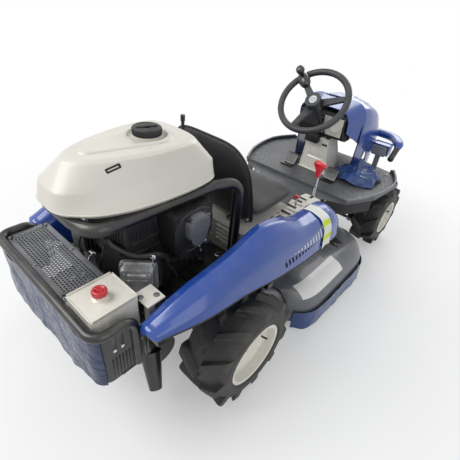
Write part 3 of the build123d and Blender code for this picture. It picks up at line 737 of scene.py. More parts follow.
PLATE_WHITE = MouldedFinish("plate_white", shade(240, 240, 236), rough=0.34, grain=0.00006, coat=0.3)
# Pale sheet behind the cover's vents: painted light seen through the slots.
VENT_PAINTED_LIGHT = MouldedFinish("vent_painted_light", shade(205, 211, 224), rough=0.40)
LENS = MouldedFinish("lamp_lens", shade(206, 210, 214), rough=0.12, grain=0.00004, coat=1.0, scuffed=0.02)
PAPER = PaperFinish("tag_paper")
SLATE_FILM = FilmFinish("slate_film", shade(14, 34, 70))
BLUE_FILM = FilmFinish("blue_film", shade(30, 56, 104), rough=0.20)


def ease(value: Array, low: float, high: float) -> Array:
    """Rise smoothly from 0 at low to 1 at high: three times the share squared less twice its cube.

    Args:
        value: The values to map.
        low: Where the rise starts.
        high: Where it ends.

    Returns:
        The eased shares.
    """
    share = np.clip((value - low) / (high - low), 0.0, 1.0)
    return share * share * (3.0 - 2.0 * share)


def unit(vectors: Array) -> Array:
    """Vectors scaled to a length of 1 along their last axis."""
    return vectors / np.maximum(np.linalg.norm(vectors, axis=-1, keepdims=True), 1e-12)


def spots(x: Array | float, y: Array | float, z: Array | float) -> Array:
    """Points from three coordinates, each a number or an array that spreads over the others."""
    return np.stack(np.broadcast_arrays(x, y, z), axis=-1)


def normals(grid: Array) -> Array:
    """Unit normals of a grid surface: the cross product of its slopes along rows and columns."""
    return unit(np.cross(np.gradient(grid, axis=0), np.gradient(grid, axis=1)))


def circle(count: int) -> Array:
    """Angles evenly spread round a full turn."""
    return np.linspace(0.0, 2 * np.pi, count, endpoint=False)


def cut_corners(points: Array, rounds: int, closed: bool = True) -> Array:
    """Round an outline: every corner gives way to two points a quarter along the edges beside it.

    Args:
        points: The outline's points along the first axis.
        rounds: How many times the corners are cut.
        closed: Whether the last point joins the first.

    Returns:
        The rounded outline.
    """
    for _ in range(rounds):
        ahead = np.roll(points, -1, axis=0) if closed else points[1:]
        here = points if closed else points[:-1]
        pairs = np.stack([0.75 * here + 0.25 * ahead, 0.25 * here + 0.75 * ahead], axis=1)
        inner = pairs.reshape(-1, *points.shape[1:])
        points = inner if closed else np.concatenate([points[:1], inner[1:-1], points[-1:]])
    return points


def curve_through(knots: Sequence[float], values: Array, at: Array) -> Array:
    """Smooth values between knots: a cubic Hermite curve whose slope at a knot is the central difference.

    Args:
        knots: Where the values are known, rising.
        values: The known values along the first axis.
        at: Where values are wanted.

    Returns:
        The values there.
    """
    knots = np.asarray(knots, float)
    values = np.asarray(values, float)
    slopes = np.gradient(values, knots, axis=0)
    index = np.clip(np.searchsorted(knots, at, side="right") - 1, 0, len(knots) - 2)
    shape = (-1,) + (1,) * (values.ndim - 1)
    width = (knots[index + 1] - knots[index]).reshape(shape)
    share = (np.asarray(at, float) - knots[index]).reshape(shape) / width
    return ((2 * share**3 - 3 * share**2 + 1) * values[index]
            + (share**3 - 2 * share**2 + share) * width * slopes[index]
            + (3 * share**2 - 2 * share**3) * values[index + 1]
            + (share**3 - share**2) * width * slopes[index + 1])


def line_through(points: Sequence[Sequence[float]], samples: int) -> Array:
    """A smooth path through points, evenly spread by the straight distance between them.

    Args:
        points: The path's points.
        samples: How many points the smooth path has.

    Returns:
        The path as an array of points.
    """
    points = np.asarray(points, float)
    reach = np.concatenate([[0.0], np.cumsum(np.linalg.norm(np.diff(points, axis=0), axis=1))])
    return curve_through(reach, points, np.linspace(0.0, reach[-1], samples))


def loft(places: Sequence[float], profiles: Array, rounds: int, samples: int) -> Array:
    """Surface over profiles along X: middle points, cut corners, then a cubic curve from one to the next.

    Args:
        places: X of each profile.
        profiles: Pairs of Y and Z for each profile.
        rounds: How many times the profiles' corners are cut.
        samples: Rows of the surface.

    Returns:
        A grid of points along X and over the profiles.
    """
    dense = np.empty((len(profiles), 2 * profiles.shape[1] - 1, 2))
    dense[:, 0::2] = profiles
    dense[:, 1::2] = 0.5 * (profiles[:, :-1] + profiles[:, 1:])
    smooth = cut_corners(dense.transpose(1, 0, 2), rounds, closed=False).transpose(1, 0, 2)
    at = np.linspace(places[0], places[-1], samples)
    spread = curve_through(places, smooth, at)
    return spots(at[:, None], spread[..., 0], spread[..., 1])


def hoop(middle: Sequence[float], plane: Sequence[Sequence[float]], reach: float, bar: tuple[float, float],
         around: int = 128, sides: int = 8) -> Array:
    """A bar bent to a circle: an ellipse of the bar's two half widths carried round the middle.

    Args:
        middle: The circle's middle.
        plane: Two directions that span its plane.
        reach: The circle's radius.
        bar: Half widths of the bar outwards and along the axis.
        around: Points round the circle.
        sides: Points round the bar.

    Returns:
        A grid that is closed both ways.
    """
    first, second = np.array(plane, float)
    axis = np.cross(first, second)
    turn, small = circle(around)[:, None, None], circle(sides)[None, :, None]
    spoke = first * np.cos(turn) + second * np.sin(turn)
    return np.asarray(middle, float) + spoke * (reach
                                                + bar[0] * np.cos(small)) + axis * bar[1] * np.sin(small)


def piping(path: Array, up: Array, radius: float, inset: float) -> Array:
    """A round bead along a closed path: circles square to it, moved inwards a little.

    Args:
        path: The closed path.
        up: The normal of the path's plane.
        radius: The bead's radius.
        inset: How far the bead's middle lies inside the path.

    Returns:
        A grid that is closed both ways.
    """
    ahead = unit(np.roll(path, -1, axis=0) - np.roll(path, 1, axis=0))
    out = np.cross(ahead, up)[:, None]
    turn = circle(8)[:, None]
    return path[:, None] - out * inset + radius * (np.cos(turn) * out + np.sin(turn) * up)


def tube(path: Array, radius: float | Array, sides: int = 12) -> Array:
    """Surface of a round rod: circles carried square to the path and drawn in to a point at both ends.

    Args:
        path: The middle line.
        radius: One radius, or one for each point.
        sides: Points round the rod.

    Returns:
        A grid of points along and round the rod.
    """
    ahead = unit(np.gradient(path, axis=0))
    flat = np.linalg.svd(path - path.mean(axis=0))[2][-1]
    side = unit(np.cross(ahead, flat))
    up = np.cross(side, ahead)
    reach = np.broadcast_to(np.asarray(radius, float), (len(path),))
    turn = circle(sides)
    rings = path[:, None] + reach[:, None, None] * (np.cos(turn)[:, None] * side[:, None]
                                                     + np.sin(turn)[:, None] * up[:, None])
    first = np.repeat(path[:1], sides, axis=0)[None]
    last = np.repeat(path[-1:], sides, axis=0)[None]
    near = first + (rings[:1] - first) * 0.86
    far = last + (rings[-1:] - last) * 0.86
    rings[0] += ahead[0] * reach[0] * 0.14
    rings[-1] -= ahead[-1] * reach[-1] * 0.14
    return np.concatenate([first, near, rings, far, last])


def turned(profile: Sequence[tuple[float, float]] | Array, foot: Sequence[float], axis: Sequence[float],
           sides: int = 40, flutes: int = 0, depth: float = 0.0) -> Array:
    """Surface of a lathe piece: the profile's radii swept about an axis, with flutes as a cosine of the turn.

    Args:
        profile: Pairs of radius and height along the axis.
        foot: Where height 0 is.
        axis: The way height rises.
        sides: Points round the axis.
        flutes: Waves round the piece.
        depth: How deep the waves are.

    Returns:
        A grid of points along the profile and round the axis.
    """
    axis = unit(np.asarray(axis, float))
    side = unit(np.cross(axis, [0.0, 0.0, 1.0] if abs(axis[2]) < 0.9 else [1.0, 0.0, 0.0]))
    up = np.cross(axis, side)
    rows = np.asarray(profile, float)
    turn = circle(sides)
    reach = rows[:, :1] * np.ones_like(turn)
    reach = np.where(rows[:, :1] > depth * 2, reach + depth * (np.cos(flutes * turn) - 1) / 2, reach)
    around = np.cos(turn)[:, None] * side + np.sin(turn)[:, None] * up
    return np.asarray(foot, float) + rows[:, 1, None, None] * axis + reach[..., None] * around


def softened(rows: Sequence[tuple[float, float]]) -> Array:
    """A lathe profile with its corners cut twice."""
    return cut_corners(np.array(rows), 2, closed=False)


def rounded_block(size: Sequence[float], radius: float, steps: int = 3) -> Array:
    """Surface of a block with round edges: a ball's points pushed outwards to eight corners.

    Args:
        size: Lengths along X, Y and Z.
        radius: Radius of its edges.
        steps: Points in a quarter turn.

    Returns:
        A closed grid about the origin.
    """
    quarter = np.linspace(0.0, 0.5 * np.pi, steps + 1)
    turn = np.concatenate([quarter + 0.5 * np.pi * k for k in range(4)])
    way_x = np.repeat([1.0, -1.0, -1.0, 1.0], steps + 1)
    way_y = np.repeat([1.0, 1.0, -1.0, -1.0], steps + 1)
    rise = np.concatenate([quarter - 0.5 * np.pi, quarter])
    way_z = np.repeat([-1.0, 1.0], steps + 1)
    ball = np.stack([np.cos(rise)[:, None] * np.cos(turn), np.cos(rise)[:, None] * np.sin(turn),
                     np.sin(rise)[:, None] * np.ones_like(turn)], axis=-1)
    half = np.asarray(size, float) / 2 - radius
    ones = np.ones((len(rise), len(turn)))
    corner = np.stack([way_x * ones, way_y * ones, way_z[:, None] * ones], axis=-1)
    rings = ball * radius + corner * half
    middle = np.repeat([[0.0, 0.0, 1.0]], len(turn), axis=0)[None] * half[2]
    tip = middle + np.array([0.0, 0.0, radius])
    return np.concatenate([-tip, rings, tip])


def facing(ways: Array, up: Sequence[float] = (0.0, 0.0, 1.0)) -> Array:
    """Turns that carry Z onto each direction, with Y as near to up as it can be.

    Args:
        ways: One direction for each place.
        up: The way Y leans.

    Returns:
        One matrix for each place, with the turned axes as its columns.
    """
    ahead = unit(np.atleast_2d(np.asarray(ways, float)))
    side = unit(np.cross(np.broadcast_to(np.asarray(up, float), ahead.shape), ahead))
    return np.stack([side, np.cross(ahead, side), ahead], axis=-1)


class Shape:
    """Collects surfaces of one piece, then welds them into one object."""

    def __init__(self, name: str) -> None:
        """Start an empty piece.

        Args:
            name: The piece's name.
        """
        self.name = name
        self.points: list[Array] = []
        self.quads: list[Array] = []
        self.slots: list[Array] = []
        self.count = 0

    def grid(self, points: Array, round_u: bool = False, round_v: bool = False, slot: int = 0) -> "Shape":
        """Add a grid surface: a quad between every four neighbours.

        Args:
            points: Points in rows and columns.
            round_u: Whether the last row joins the first.
            round_v: Whether the last column joins the first.
            slot: Index of its finish.

        Returns:
            The piece itself.
        """
        rows, columns = points.shape[:2]
        u = np.arange(rows if round_u else rows - 1)[:, None]
        v = np.arange(columns if round_v else columns - 1)[None]
        ahead, beside = (u + 1) % rows, (v + 1) % columns
        quads = np.stack([u * columns + v, ahead * columns + v, ahead * columns + beside,
                          u * columns + beside], axis=-1).reshape(-1, 4)
        return self.take(points.reshape(-1, 3), quads, slot)

    def take(self, points: Array, quads: Array, slot: int = 0) -> "Shape":
        """Add loose points and the quads between them.

        Args:
            points: The points.
            quads: Four indices for each quad.
            slot: Index of their finish.

        Returns:
            The piece itself.
        """
        self.points.append(points)
        self.quads.append(quads + self.count)
        self.slots.append(np.full(len(quads), slot))
        self.count += len(points)
        return self

    def stamp(self, pattern: "Shape", places: Array, turns: Array, slot: int = 0) -> "Shape":
        """Repeat a small pattern: its points turned and moved to every place at once.

        Args:
            pattern: The small piece about the origin.
            places: One point for each copy.
            turns: One matrix for each copy, or one for all.
            slot: Index of their finish.

        Returns:
            The piece itself.
        """
        places = np.atleast_2d(np.asarray(places, float))
        turns = np.broadcast_to(turns, (len(places), 3, 3))
        small = np.concatenate(pattern.points)
        quads = np.concatenate(pattern.quads)
        spread = places[:, None] + np.einsum("nij,mj->nmi", turns, small)
        starts = np.arange(len(places))[:, None, None] * len(small)
        return self.take(spread.reshape(-1, 3), (quads[None] + starts).reshape(-1, 4), slot)

    def closed(self, points: Array, slot: int = 0) -> "Shape":
        """Add a grid surface whose columns close on themselves."""
        return self.grid(points, round_v=True, slot=slot)

    def looped(self, points: Array) -> "Shape":
        """Add a grid surface that closes on itself both ways."""
        return self.grid(points, round_u=True, round_v=True)

    def blocks(self, size: Sequence[float], radius: float, places: Sequence[Sequence[float]],
               turn: Array = np.eye(3), slot: int = 0) -> "Shape":
        """Add blocks with round edges.

        Args:
            size: Lengths along X, Y and Z before the turn.
            radius: Radius of their edges.
            places: Middle of each block.
            turn: One matrix for all, or one for each.
            slot: Index of their finish.

        Returns:
            The piece itself.
        """
        return self.stamp(block_pattern(size, radius), places, turn, slot)

    def bolts(self, size: float, height: float, places: Sequence[Sequence[float]],
              out: Sequence[float] | None = None) -> "Shape":
        """Add bolts.

        Args:
            size: Radius across a head's corners.
            height: A head's height.
            places: Foot of each bolt.
            out: The way they point, or straight up.

        Returns:
            The piece itself.
        """
        turn = np.eye(3) if out is None else facing([out])[0]
        return self.stamp(bolt_pattern(size, height), places, turn)

    def lathe(self, profile: Sequence[tuple[float, float]] | Array, foot: Sequence[float],
              axis: Sequence[float] = UP, sides: int = 40, flutes: int = 0, depth: float = 0.0) -> "Shape":
        """Add a lathe piece.

        Args:
            profile: Pairs of radius and height along the axis.
            foot: Where height 0 is.
            axis: The way height rises.
            sides: Points round the axis.
            flutes: Waves round the piece.
            depth: How deep the waves are.

        Returns:
            The piece itself.
        """
        return self.closed(turned(profile, foot, axis, sides, flutes, depth))

    def rod(self, path: Array, radius: float | Array, sides: int = 12, slot: int = 0) -> "Shape":
        """Add a round rod along a path.

        Args:
            path: The rod's middle line.
            radius: One radius, or one for each point.
            sides: Points round the rod.
            slot: Index of its finish.

        Returns:
            The piece itself.
        """
        return self.closed(tube(np.asarray(path, float), radius, sides), slot)

    def build(self, body: str, slot: str, finishes: Sequence[object] = (), crease: float = 38.0,
              outward: bool = True) -> bpy.types.Object:
        """Weld the surfaces and make the object, which rides on a body.

        Args:
            body: The body that it moves with.
            slot: The record's material slot.
            finishes: The finishes that its faces index, or the slot's own.
            crease: Edges sharper than this, in degrees, stay sharp.
            outward: Whether faces are turned to point out of closed shells.

        Returns:
            The object.
        """
        piece = self.bare(crease, outward)
        for finish in finishes or [Slot[slot].value]:
            piece.data.materials.append(WARDROBE.get(finish))
        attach(piece, body)
        return piece

    def bare(self, crease: float = 38.0, outward: bool = True) -> bpy.types.Object:
        """Weld the surfaces into an object without finish or body.

        Args:
            crease: Edges sharper than this, in degrees, stay sharp.
            outward: Whether faces are turned to point out of closed shells.

        Returns:
            The object.
        """
        points = np.concatenate(self.points)
        quads = np.concatenate(self.quads)
        slots = np.concatenate(self.slots)
        _, first, merged = np.unique(np.round(points, 6), axis=0, return_index=True, return_inverse=True)
        quads = merged.reshape(-1)[quads]
        same = quads == np.roll(quads, -1, axis=1)
        crossed = (quads[:, 0] == quads[:, 2]) | (quads[:, 1] == quads[:, 3])
        whole = (same.sum(axis=1) == 0) & ~crossed
        three = (same.sum(axis=1) == 1) & ~crossed
        corners = np.concatenate([quads[whole].ravel(), quads[three][~same[three]]])
        sizes = np.concatenate([np.full(whole.sum(), 4), np.full(three.sum(), 3)])
        mesh = bpy.data.meshes.new(self.name)
        mesh.vertices.add(len(first))
        mesh.vertices.foreach_set("co", points[first].ravel())
        mesh.loops.add(len(corners))
        mesh.loops.foreach_set("vertex_index", corners.astype(np.int32))
        mesh.polygons.add(len(sizes))
        mesh.polygons.foreach_set("loop_start", (np.cumsum(sizes) - sizes).astype(np.int32))
        mesh.polygons.foreach_set("material_index",
                                  np.concatenate([slots[whole], slots[three]]).astype(np.int32))
        mesh.update(calc_edges=True)
        mesh.validate()
        if outward:
            turn_out(mesh)
        mesh.shade_smooth()
        mesh.set_sharp_from_angle(angle=math.radians(crease))
        piece = bpy.data.objects.new(self.name, mesh)
        bpy.context.scene.collection.objects.link(piece)
        return piece


def turn_out(mesh: bpy.types.Mesh) -> None:
    """Turn a mesh's faces so that they point out of its closed shells.

    Args:
        mesh: The mesh to change.
    """
    work = bmesh.new()
    work.from_mesh(mesh)
    bmesh.ops.recalc_face_normals(work, faces=work.faces)
    work.to_mesh(mesh)
    work.free()


def carve(piece: bpy.types.Object, cutter: Shape, crease: float = 38.0) -> None:
    """Cut a shape out of a piece for good, and drop the cutter.

    Args:
        piece: The piece to cut.
        cutter: The closed shapes to take away.
        crease: Edges sharper than this, in degrees, stay sharp.
    """
    tool = cutter.bare()
    change = piece.modifiers.new("cut", "BOOLEAN")
    change.object = tool
    change.operation = "DIFFERENCE"
    change.solver = "EXACT"
    graph = bpy.context.evaluated_depsgraph_get()
    whole = piece.data
    mesh = bpy.data.meshes.new_from_object(piece.evaluated_get(graph))
    piece.modifiers.clear()
    piece.data = mesh
    mesh.name = piece.name
    mesh.shade_smooth()
    mesh.set_sharp_from_angle(angle=math.radians(crease))
    bpy.data.meshes.remove(whole)
    bpy.data.objects.remove(tool)


def bolt_pattern(size: float, height: float) -> Shape:
    """A hexagon bolt's head on its washer: a six-sided lathe piece over a round one.

    Args:
        size: Radius across the head's corners.
        height: The head's height.

    Returns:
        The pattern, with its washer's foot at the origin.
    """
    washer = [(0, 0), (size * 1.45, 0), (size * 1.45, height * 0.22), (size * 1.35, height * 0.28),
              (0, height * 0.28)]
    head = [(0, height * 0.2), (size, height * 0.2), (size, height * 0.92), (size * 0.86, height * 1.15),
            (size * 0.5, height * 1.18), (0, height * 1.18)]
    pattern = Shape("bolt")
    pattern.lathe(washer, (0, 0, 0), UP, 16)
    pattern.lathe(head, (0, 0, 0), UP, 6)
    return pattern


def block_pattern(size: Sequence[float], radius: float, steps: int = 2) -> Shape:
    """A block with round edges as a pattern about the origin."""
    return Shape("block").closed(rounded_block(size, radius, steps))


def dome_pattern(radius: float, height: float, sides: int = 10) -> Shape:
    """A low round bump as a pattern: its height falls as a cosine of the distance.

    Args:
        radius: The bump's radius.
        height: Its height.
        sides: Points round it.

    Returns:
        The pattern, with its foot at the origin.
    """
    share = np.linspace(0.0, 1.0, 4)
    profile = [(0.0, -height * 0.4), (radius, -height * 0.4)]
    profile += [(radius * s, height * math.cos(s * math.pi / 2)) for s in share[::-1]]
    return Shape("dome").lathe(profile, (0, 0, 0), UP, sides)


@dataclass
class Tyre:
    """A lugged tyre with rounded bars, its rim's bolts and its valve.

    Attributes:
        name: Which wheel it is.
        centre: The wheel's middle.
        side: 1 on the left, -1 on the right.
        radius: Over the lugs.
        width: Over the walls.
        rim_radius: Of the seat on the rim.
        lugs: Bars on each side.
        slant: Lean of the bars in degrees.
        lug_height: Height of the bars.
        around: Points round the wheel.
        across: Points over the section.
        bolt_circle: Radius of the circle that the wheel bolts stand on.
    """

    name: str
    centre: tuple[float, float, float]
    side: int
    radius: float = 0.206
    width: float = 0.188
    rim_radius: float = 0.113
    lugs: int = 11
    slant: float = 38.0
    lug_height: float = 0.021
    around: int = 484
    across: int = 76
    bolt_circle: float = 0.0415

    def section(self) -> tuple[Array, Array]:
        """The bare carcass: a rounded outline from one bead over the crown to the other.

        Returns:
            Places across the wheel and the radii there.
        """
        half, base = self.width / 2, self.radius - self.lug_height
        rise = base - self.rim_radius
        rows = [(0.78, 0.0), (0.96, 0.16 * rise), (0.985, 0.50 * rise), (0.93, 0.84 * rise),
                (0.66, 0.985 * rise), (0.30, rise)]
        outline = np.array([(-a * half, self.rim_radius + b) for a, b in rows]
                           + [(a * half, self.rim_radius + b) for a, b in reversed(rows)])
        outline = cut_corners(outline, 4, closed=False)
        reach = np.concatenate([[0.0], np.cumsum(np.linalg.norm(np.diff(outline, axis=0), axis=1))])
        spread = np.linspace(0.0, reach[-1], self.across)
        return np.interp(spread, reach, outline[:, 0]), np.interp(spread, reach, outline[:, 1])

    def lug_share(self, turn: Array, y: Array, reach: Array) -> Array:
        """How far each point is lifted to a bar's top: 1 near a bar's slanted middle line, 0 beyond it.

        Args:
            turn: Angles round the wheel.
            y: Places across it.
            reach: Radii of the carcass.

        Returns:
            Shares from 0 to 1.
        """
        half = self.width / 2
        step = 2 * np.pi / self.lugs
        away = np.abs(y) / half
        lean = (np.abs(y) - 0.54 * half) * math.tan(math.radians(self.slant)) / self.radius
        middle = np.where(y > 0, 0.25, 0.75) * step - lean
        gap = ((turn - middle) / step + 0.5) % 1.0 - 0.5
        distance = np.abs(gap) * step * self.radius * math.cos(math.radians(self.slant))
        reach_half = (0.0118 + 0.0052 * np.clip(away, 0.0, 1.0)) * self.radius / 0.206
        bar = 1.0 - ease(distance, reach_half - 0.0028, reach_half + 0.0030)
        base = self.radius - self.lug_height
        return bar * ease(away, 0.02, 0.10) * ease(reach, base - 0.034, base - 0.013)

    def surface(self) -> Array:
        """The tyre: the carcass swept round the axle and lifted to the bars' tops.

        Returns:
            A grid that is closed both ways.
        """
        y, reach = self.section()
        turn = circle(self.around)[:, None]
        share = self.lug_share(turn, y[None], reach[None])
        top = self.radius - 0.0035 * (y / (self.width / 2)) ** 2
        lifted = reach + (top - reach) * share
        ripple = 0.0006 * np.sin(17 * turn + 90 * y) * np.sin(29 * turn + 3) * share
        lifted = lifted + ripple
        x0, y0, z0 = self.centre
        return spots(x0 + lifted * np.cos(turn), y0 + y, z0 + lifted * np.sin(turn))

    def ring(self, reach: float, y: float, thick: float) -> Array:
        """A thin ring round the axle.

        Args:
            reach: The ring's radius.
            y: Its place across the wheel.
            thick: The bar's radius.

        Returns:
            A grid that is closed both ways.
        """
        x0, y0, z0 = self.centre
        return hoop((x0, y0 + y, z0), ((1, 0, 0), (0, 0, 1)), reach, (thick, thick), 96)

    def build(self) -> None:
        """Make the tyre in place of its solid, then the ridges, bolts and valve."""
        body = f"wheel_{self.name}"
        tread = Shape(f"lugged_tyre_{self.name}")
        tread.looped(self.surface())
        half, base = self.width / 2, self.radius - self.lug_height
        third = self.across // 3
        y, r = self.section()
        for share in (0.20, 0.62):
            reach = self.rim_radius + share * (base - self.rim_radius)
            wall = float(np.interp(reach, r[:third], -y[:third]))
            for way in (1, -1):
                tread.looped(self.ring(reach, way * wall, 0.0014))
        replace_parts(tread.build(body, "tyre_rubber", crease=50.0), f"tyre_{self.name}")
        x0, y0, z0 = self.centre
        disc = y0 + self.side * (half * 0.28 + 0.005)
        turn = circle(5)
        out = (0.0, self.side, 0.0)
        places = spots(x0 + self.bolt_circle * np.cos(turn), disc, z0 + self.bolt_circle * np.sin(turn))
        trim = Shape(f"wheel_bolts_{self.name}")
        trim.bolts(0.0072, 0.007, places, out)
        shaft = y0 + self.side * (half * 0.28 + 0.0142)
        trim.lathe([(0.0, 0.0), (0.0155, 0.0), (0.0155, 0.003), (0.013, 0.005), (0.0, 0.006)],
                   (x0, shaft - self.side * 0.001, z0), out, 24)
        trim.build(body, "bare_steel", [DULL_ZINC])
        bead = Shape(f"rim_bead_{self.name}")
        edge = half * 0.80 + 0.009
        for way in (1, -1):
            bead.looped(self.ring(self.rim_radius + 0.0045, way * edge, 0.0042))
        stem = line_through([(x0 + 0.075, y0 + self.side * half * 0.55, z0),
                             (x0 + 0.078, y0 + self.side * half * 0.70, z0),
                             (x0 + 0.082, y0 + self.side * half * 0.80, z0)], 8)
        bead.rod(stem, 0.0035, 10, slot=1)
        bead.build(body, "rim_cream", [Slot.rim_cream.value, Slot.black_plastic.value])


@dataclass
class FuelTank:
    """The moulded fuel tank: belts of rounded outlines, a raised drop round the filler and a gauge window.

    Attributes:
        belts: Height of each belt, then its half outline from the rear middle to the front middle.
        filler: Where the filler stands.
        drop_tail: X of the drop's narrow end.
        drop_radius: Radius of the drop at the filler.
        tail_radius: Radius of its narrow end.
        top: Height of the tank's top.
        gauge: Middle of the gauge window.
        gauge_normal: The way the window faces.
    """

    belts: tuple = ((0.724, ((-0.936, 0), (-0.936, 0.046), (-0.908, 0.080), (-0.866, 0.122),
                             (-0.750, 0.160), (-0.545, 0.168), (-0.482, 0.138), (-0.472, 0))),
                    (0.740, ((-0.950, 0), (-0.950, 0.050), (-0.922, 0.088), (-0.875, 0.134),
                             (-0.755, 0.174), (-0.540, 0.182), (-0.470, 0.150), (-0.458, 0))),
                    (0.790, ((-0.938, 0), (-0.938, 0.048), (-0.908, 0.080), (-0.801, 0.120),
                             (-0.661, 0.149), (-0.505, 0.156), (-0.472, 0.130), (-0.464, 0))),
                    (0.845, ((-0.890, 0), (-0.866, 0.046), (-0.804, 0.084), (-0.700, 0.112),
                             (-0.640, 0.120), (-0.551, 0.122), (-0.505, 0.095), (-0.492, 0))),
                    (0.852, ((-0.872, 0), (-0.850, 0.040), (-0.794, 0.072), (-0.696, 0.098),
                             (-0.640, 0.106), (-0.556, 0.108), (-0.518, 0.084), (-0.506, 0))),)
    filler: tuple[float, float] = (-0.622, 0.0)
    drop_tail: float = -0.812
    drop_radius: float = 0.076
    tail_radius: float = 0.024
    top: float = 0.852
    gauge: tuple[float, float, float] = (-0.797, -0.0925, 0.8335)
    gauge_normal: tuple[float, float, float] = (-0.26, -0.80, 0.54)

    def rings(self) -> Array:
        """The belts' outlines: each half is mirrored and its corners are cut three times.

        Returns:
            One row of points for each belt.
        """
        outline = np.array([[(x, y) for x, y in half] + [(x, -y) for x, y in half[-2:0:-1]]
                            for _, half in self.belts])
        level = np.array([height for height, _ in self.belts])
        smooth = cut_corners(outline.transpose(1, 0, 2), 3).transpose(1, 0, 2)
        return spots(smooth[..., 0], smooth[..., 1], level[:, None])

    def shell(self) -> Array:
        """The whole body: belts joined by runs with cut corners, closed by rings drawn to a middle line.

        Returns:
            Rows of points from the middle of the base over the wall to the middle of the top.
        """
        rings = self.rings()
        stops = np.array([0.0, 0.35, 0.9, 1.0, 1.08, 1.5, 1.9, 2.0, 2.1, 2.5, 2.8, 3.0, 3.4, 4.0])
        low = np.minimum(stops.astype(int), len(rings) - 2)
        share = (stops - low)[:, None, None]
        rows = cut_corners(rings[low] * (1 - share) + rings[low + 1] * share, 2, closed=False)
        middle = np.array([-0.690, 0.0, 0.0])
        spread = np.array([0.97, 0.80, 0.50, 0.20, 0.0])[:, None, None]
        crown = middle + (rows[-1][None] - middle) * [1.0, 1.0, 0.0] * spread
        crown[..., 2] = self.top + 0.0012 * (1 - spread[..., 0])
        base = middle + (rows[0][None] - middle) * [1.0, 1.0, 0.0] * spread[::-1]
        base[..., 2] = rows[0][0, 2]
        return np.concatenate([base, rows, crown])

    def drop(self) -> Array:
        """The raised drop: the hull of two circles stepped up and in, then into the ring and up the neck.

        Returns:
            Rows of points from the drop's foot to the middle of the neck.
        """
        turn = np.linspace(-np.pi, np.pi, 128, endpoint=False)
        tail = np.cos(turn) * (self.filler[0] - self.drop_tail) < self.tail_radius - self.drop_radius
        centre = np.where(tail, self.drop_tail, self.filler[0])
        reach = np.where(tail, self.tail_radius, self.drop_radius)
        steps = [(0.0040, -0.0010), (0.0014, 0.0012), (-0.0010, 0.0034), (-0.0036, 0.0046), (-0.0068, 0.0050)]
        rows = [spots(centre + (reach + out) * np.cos(turn), (reach + out) * np.sin(turn), self.top + up)
                for out, up in steps]
        rings = [(0.0625, 0.0050), (0.0600, 0.0042), (0.0588, 0.0010), (0.0582, -0.0062), (0.0480, -0.0062),
                 (0.0465, 0.0010), (0.0455, 0.0052), (0.0, 0.0052)]
        rows += [spots(self.filler[0] + r * np.cos(turn), r * np.sin(turn), self.top + up) for r, up in rings]
        return np.stack(rows)

    def cap(self) -> Shape:
        """The filler cap: a fluted lathe piece with a stepped top and a grip bar across it.

        Returns:
            The cap, not yet built.
        """
        cap = Shape("tank_cap")
        foot = (self.filler[0], 0.0, self.top + 0.0055)
        side = [(0.0, 0.0), (0.0425, 0.0), (0.0440, 0.0012), (0.0440, 0.0165), (0.0428, 0.0188)]
        top = [(0.0405, 0.0200), (0.0360, 0.0208), (0.0345, 0.0196), (0.0120, 0.0200), (0.0, 0.0200)]
        cap.lathe(side + top[:1] + [(0.0, 0.0200)], foot, UP, 240, 40, 0.0016)
        cap.lathe([(0.0, 0.0190)] + top, foot, UP, 64)
        bar = block_pattern((0.062, 0.011, 0.0065), 0.0022)
        cap.stamp(bar, [(self.filler[0], 0.0, self.top + 0.0264)], facing([(0, 0, 1)], (0.4, 1.0, 0.0))[0])
        return cap

    def build(self) -> None:
        """Make the tank, its drop, gauge and seam, and the cap, in place of the solids."""
        body = Shape("moulded_tank")
        body.closed(self.shell())
        tank = body.build("chassis", "cream_plastic", crease=32.0)
        hole = Shape("filler_hole")
        hole.lathe([(0.0, -0.010), (0.0600, -0.010), (0.0600, 0.02), (0.0, 0.02)],
                   (self.filler[0], 0.0, self.top), UP, 64)
        frame_turn = facing([self.gauge_normal], (0.55, -0.2, 0.2))[0]
        hole.blocks((0.0135, 0.0420, 0.016), 0.0030, [self.gauge], frame_turn)
        carve(tank, hole, 32.0)
        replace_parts(tank, "fuel_tank")
        drop = Shape("tank_drop")
        drop.closed(self.drop())
        drop.build("chassis", "cream_plastic", crease=50.0, outward=False)
        seam = Shape("tank_seam")
        rim = self.rings()
        lip = piping(rim[1] + [0.0, 0.0, 0.0005], np.array([0.0, 0.0, -1.0]), 0.0028, 0.002)
        seam.looped(lip)
        seam.build("chassis", "cream_plastic")
        gauge = Shape("tank_gauge")
        normal = unit(np.array(self.gauge_normal))
        place = np.array(self.gauge) - normal * 0.0062
        gauge.blocks((0.0128, 0.0412, 0.0030), 0.0012, [place], frame_turn)
        gauge.blocks((0.0034, 0.0300, 0.0024), 0.0010, [place + normal * 0.0018], frame_turn, 1)
        gauge.build("chassis", "cream_plastic", [Slot.black_plastic.value, Slot.cream_plastic.value])
        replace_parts(self.cap().build("chassis", "black_plastic"), "fuel_cap")


def wall_grid(shape: Shape, outer: Array, thick: float, slot: int = 0) -> None:
    """Add a sheet with a thickness: the outer surface, the same moved in along its normals, and the edges.

    Args:
        shape: The piece that gets it.
        outer: Grid of the outer surface.
        thick: The sheet's thickness.
        slot: Index of its finish.
    """
    inner = outer + normals(outer) * thick
    shape.grid(outer, slot=slot).grid(inner, slot=slot)
    for end in (0, -1):
        shape.grid(np.stack([outer[end], inner[end]]), slot=slot)
        shape.grid(np.stack([outer[:, end], inner[:, end]]), slot=slot)


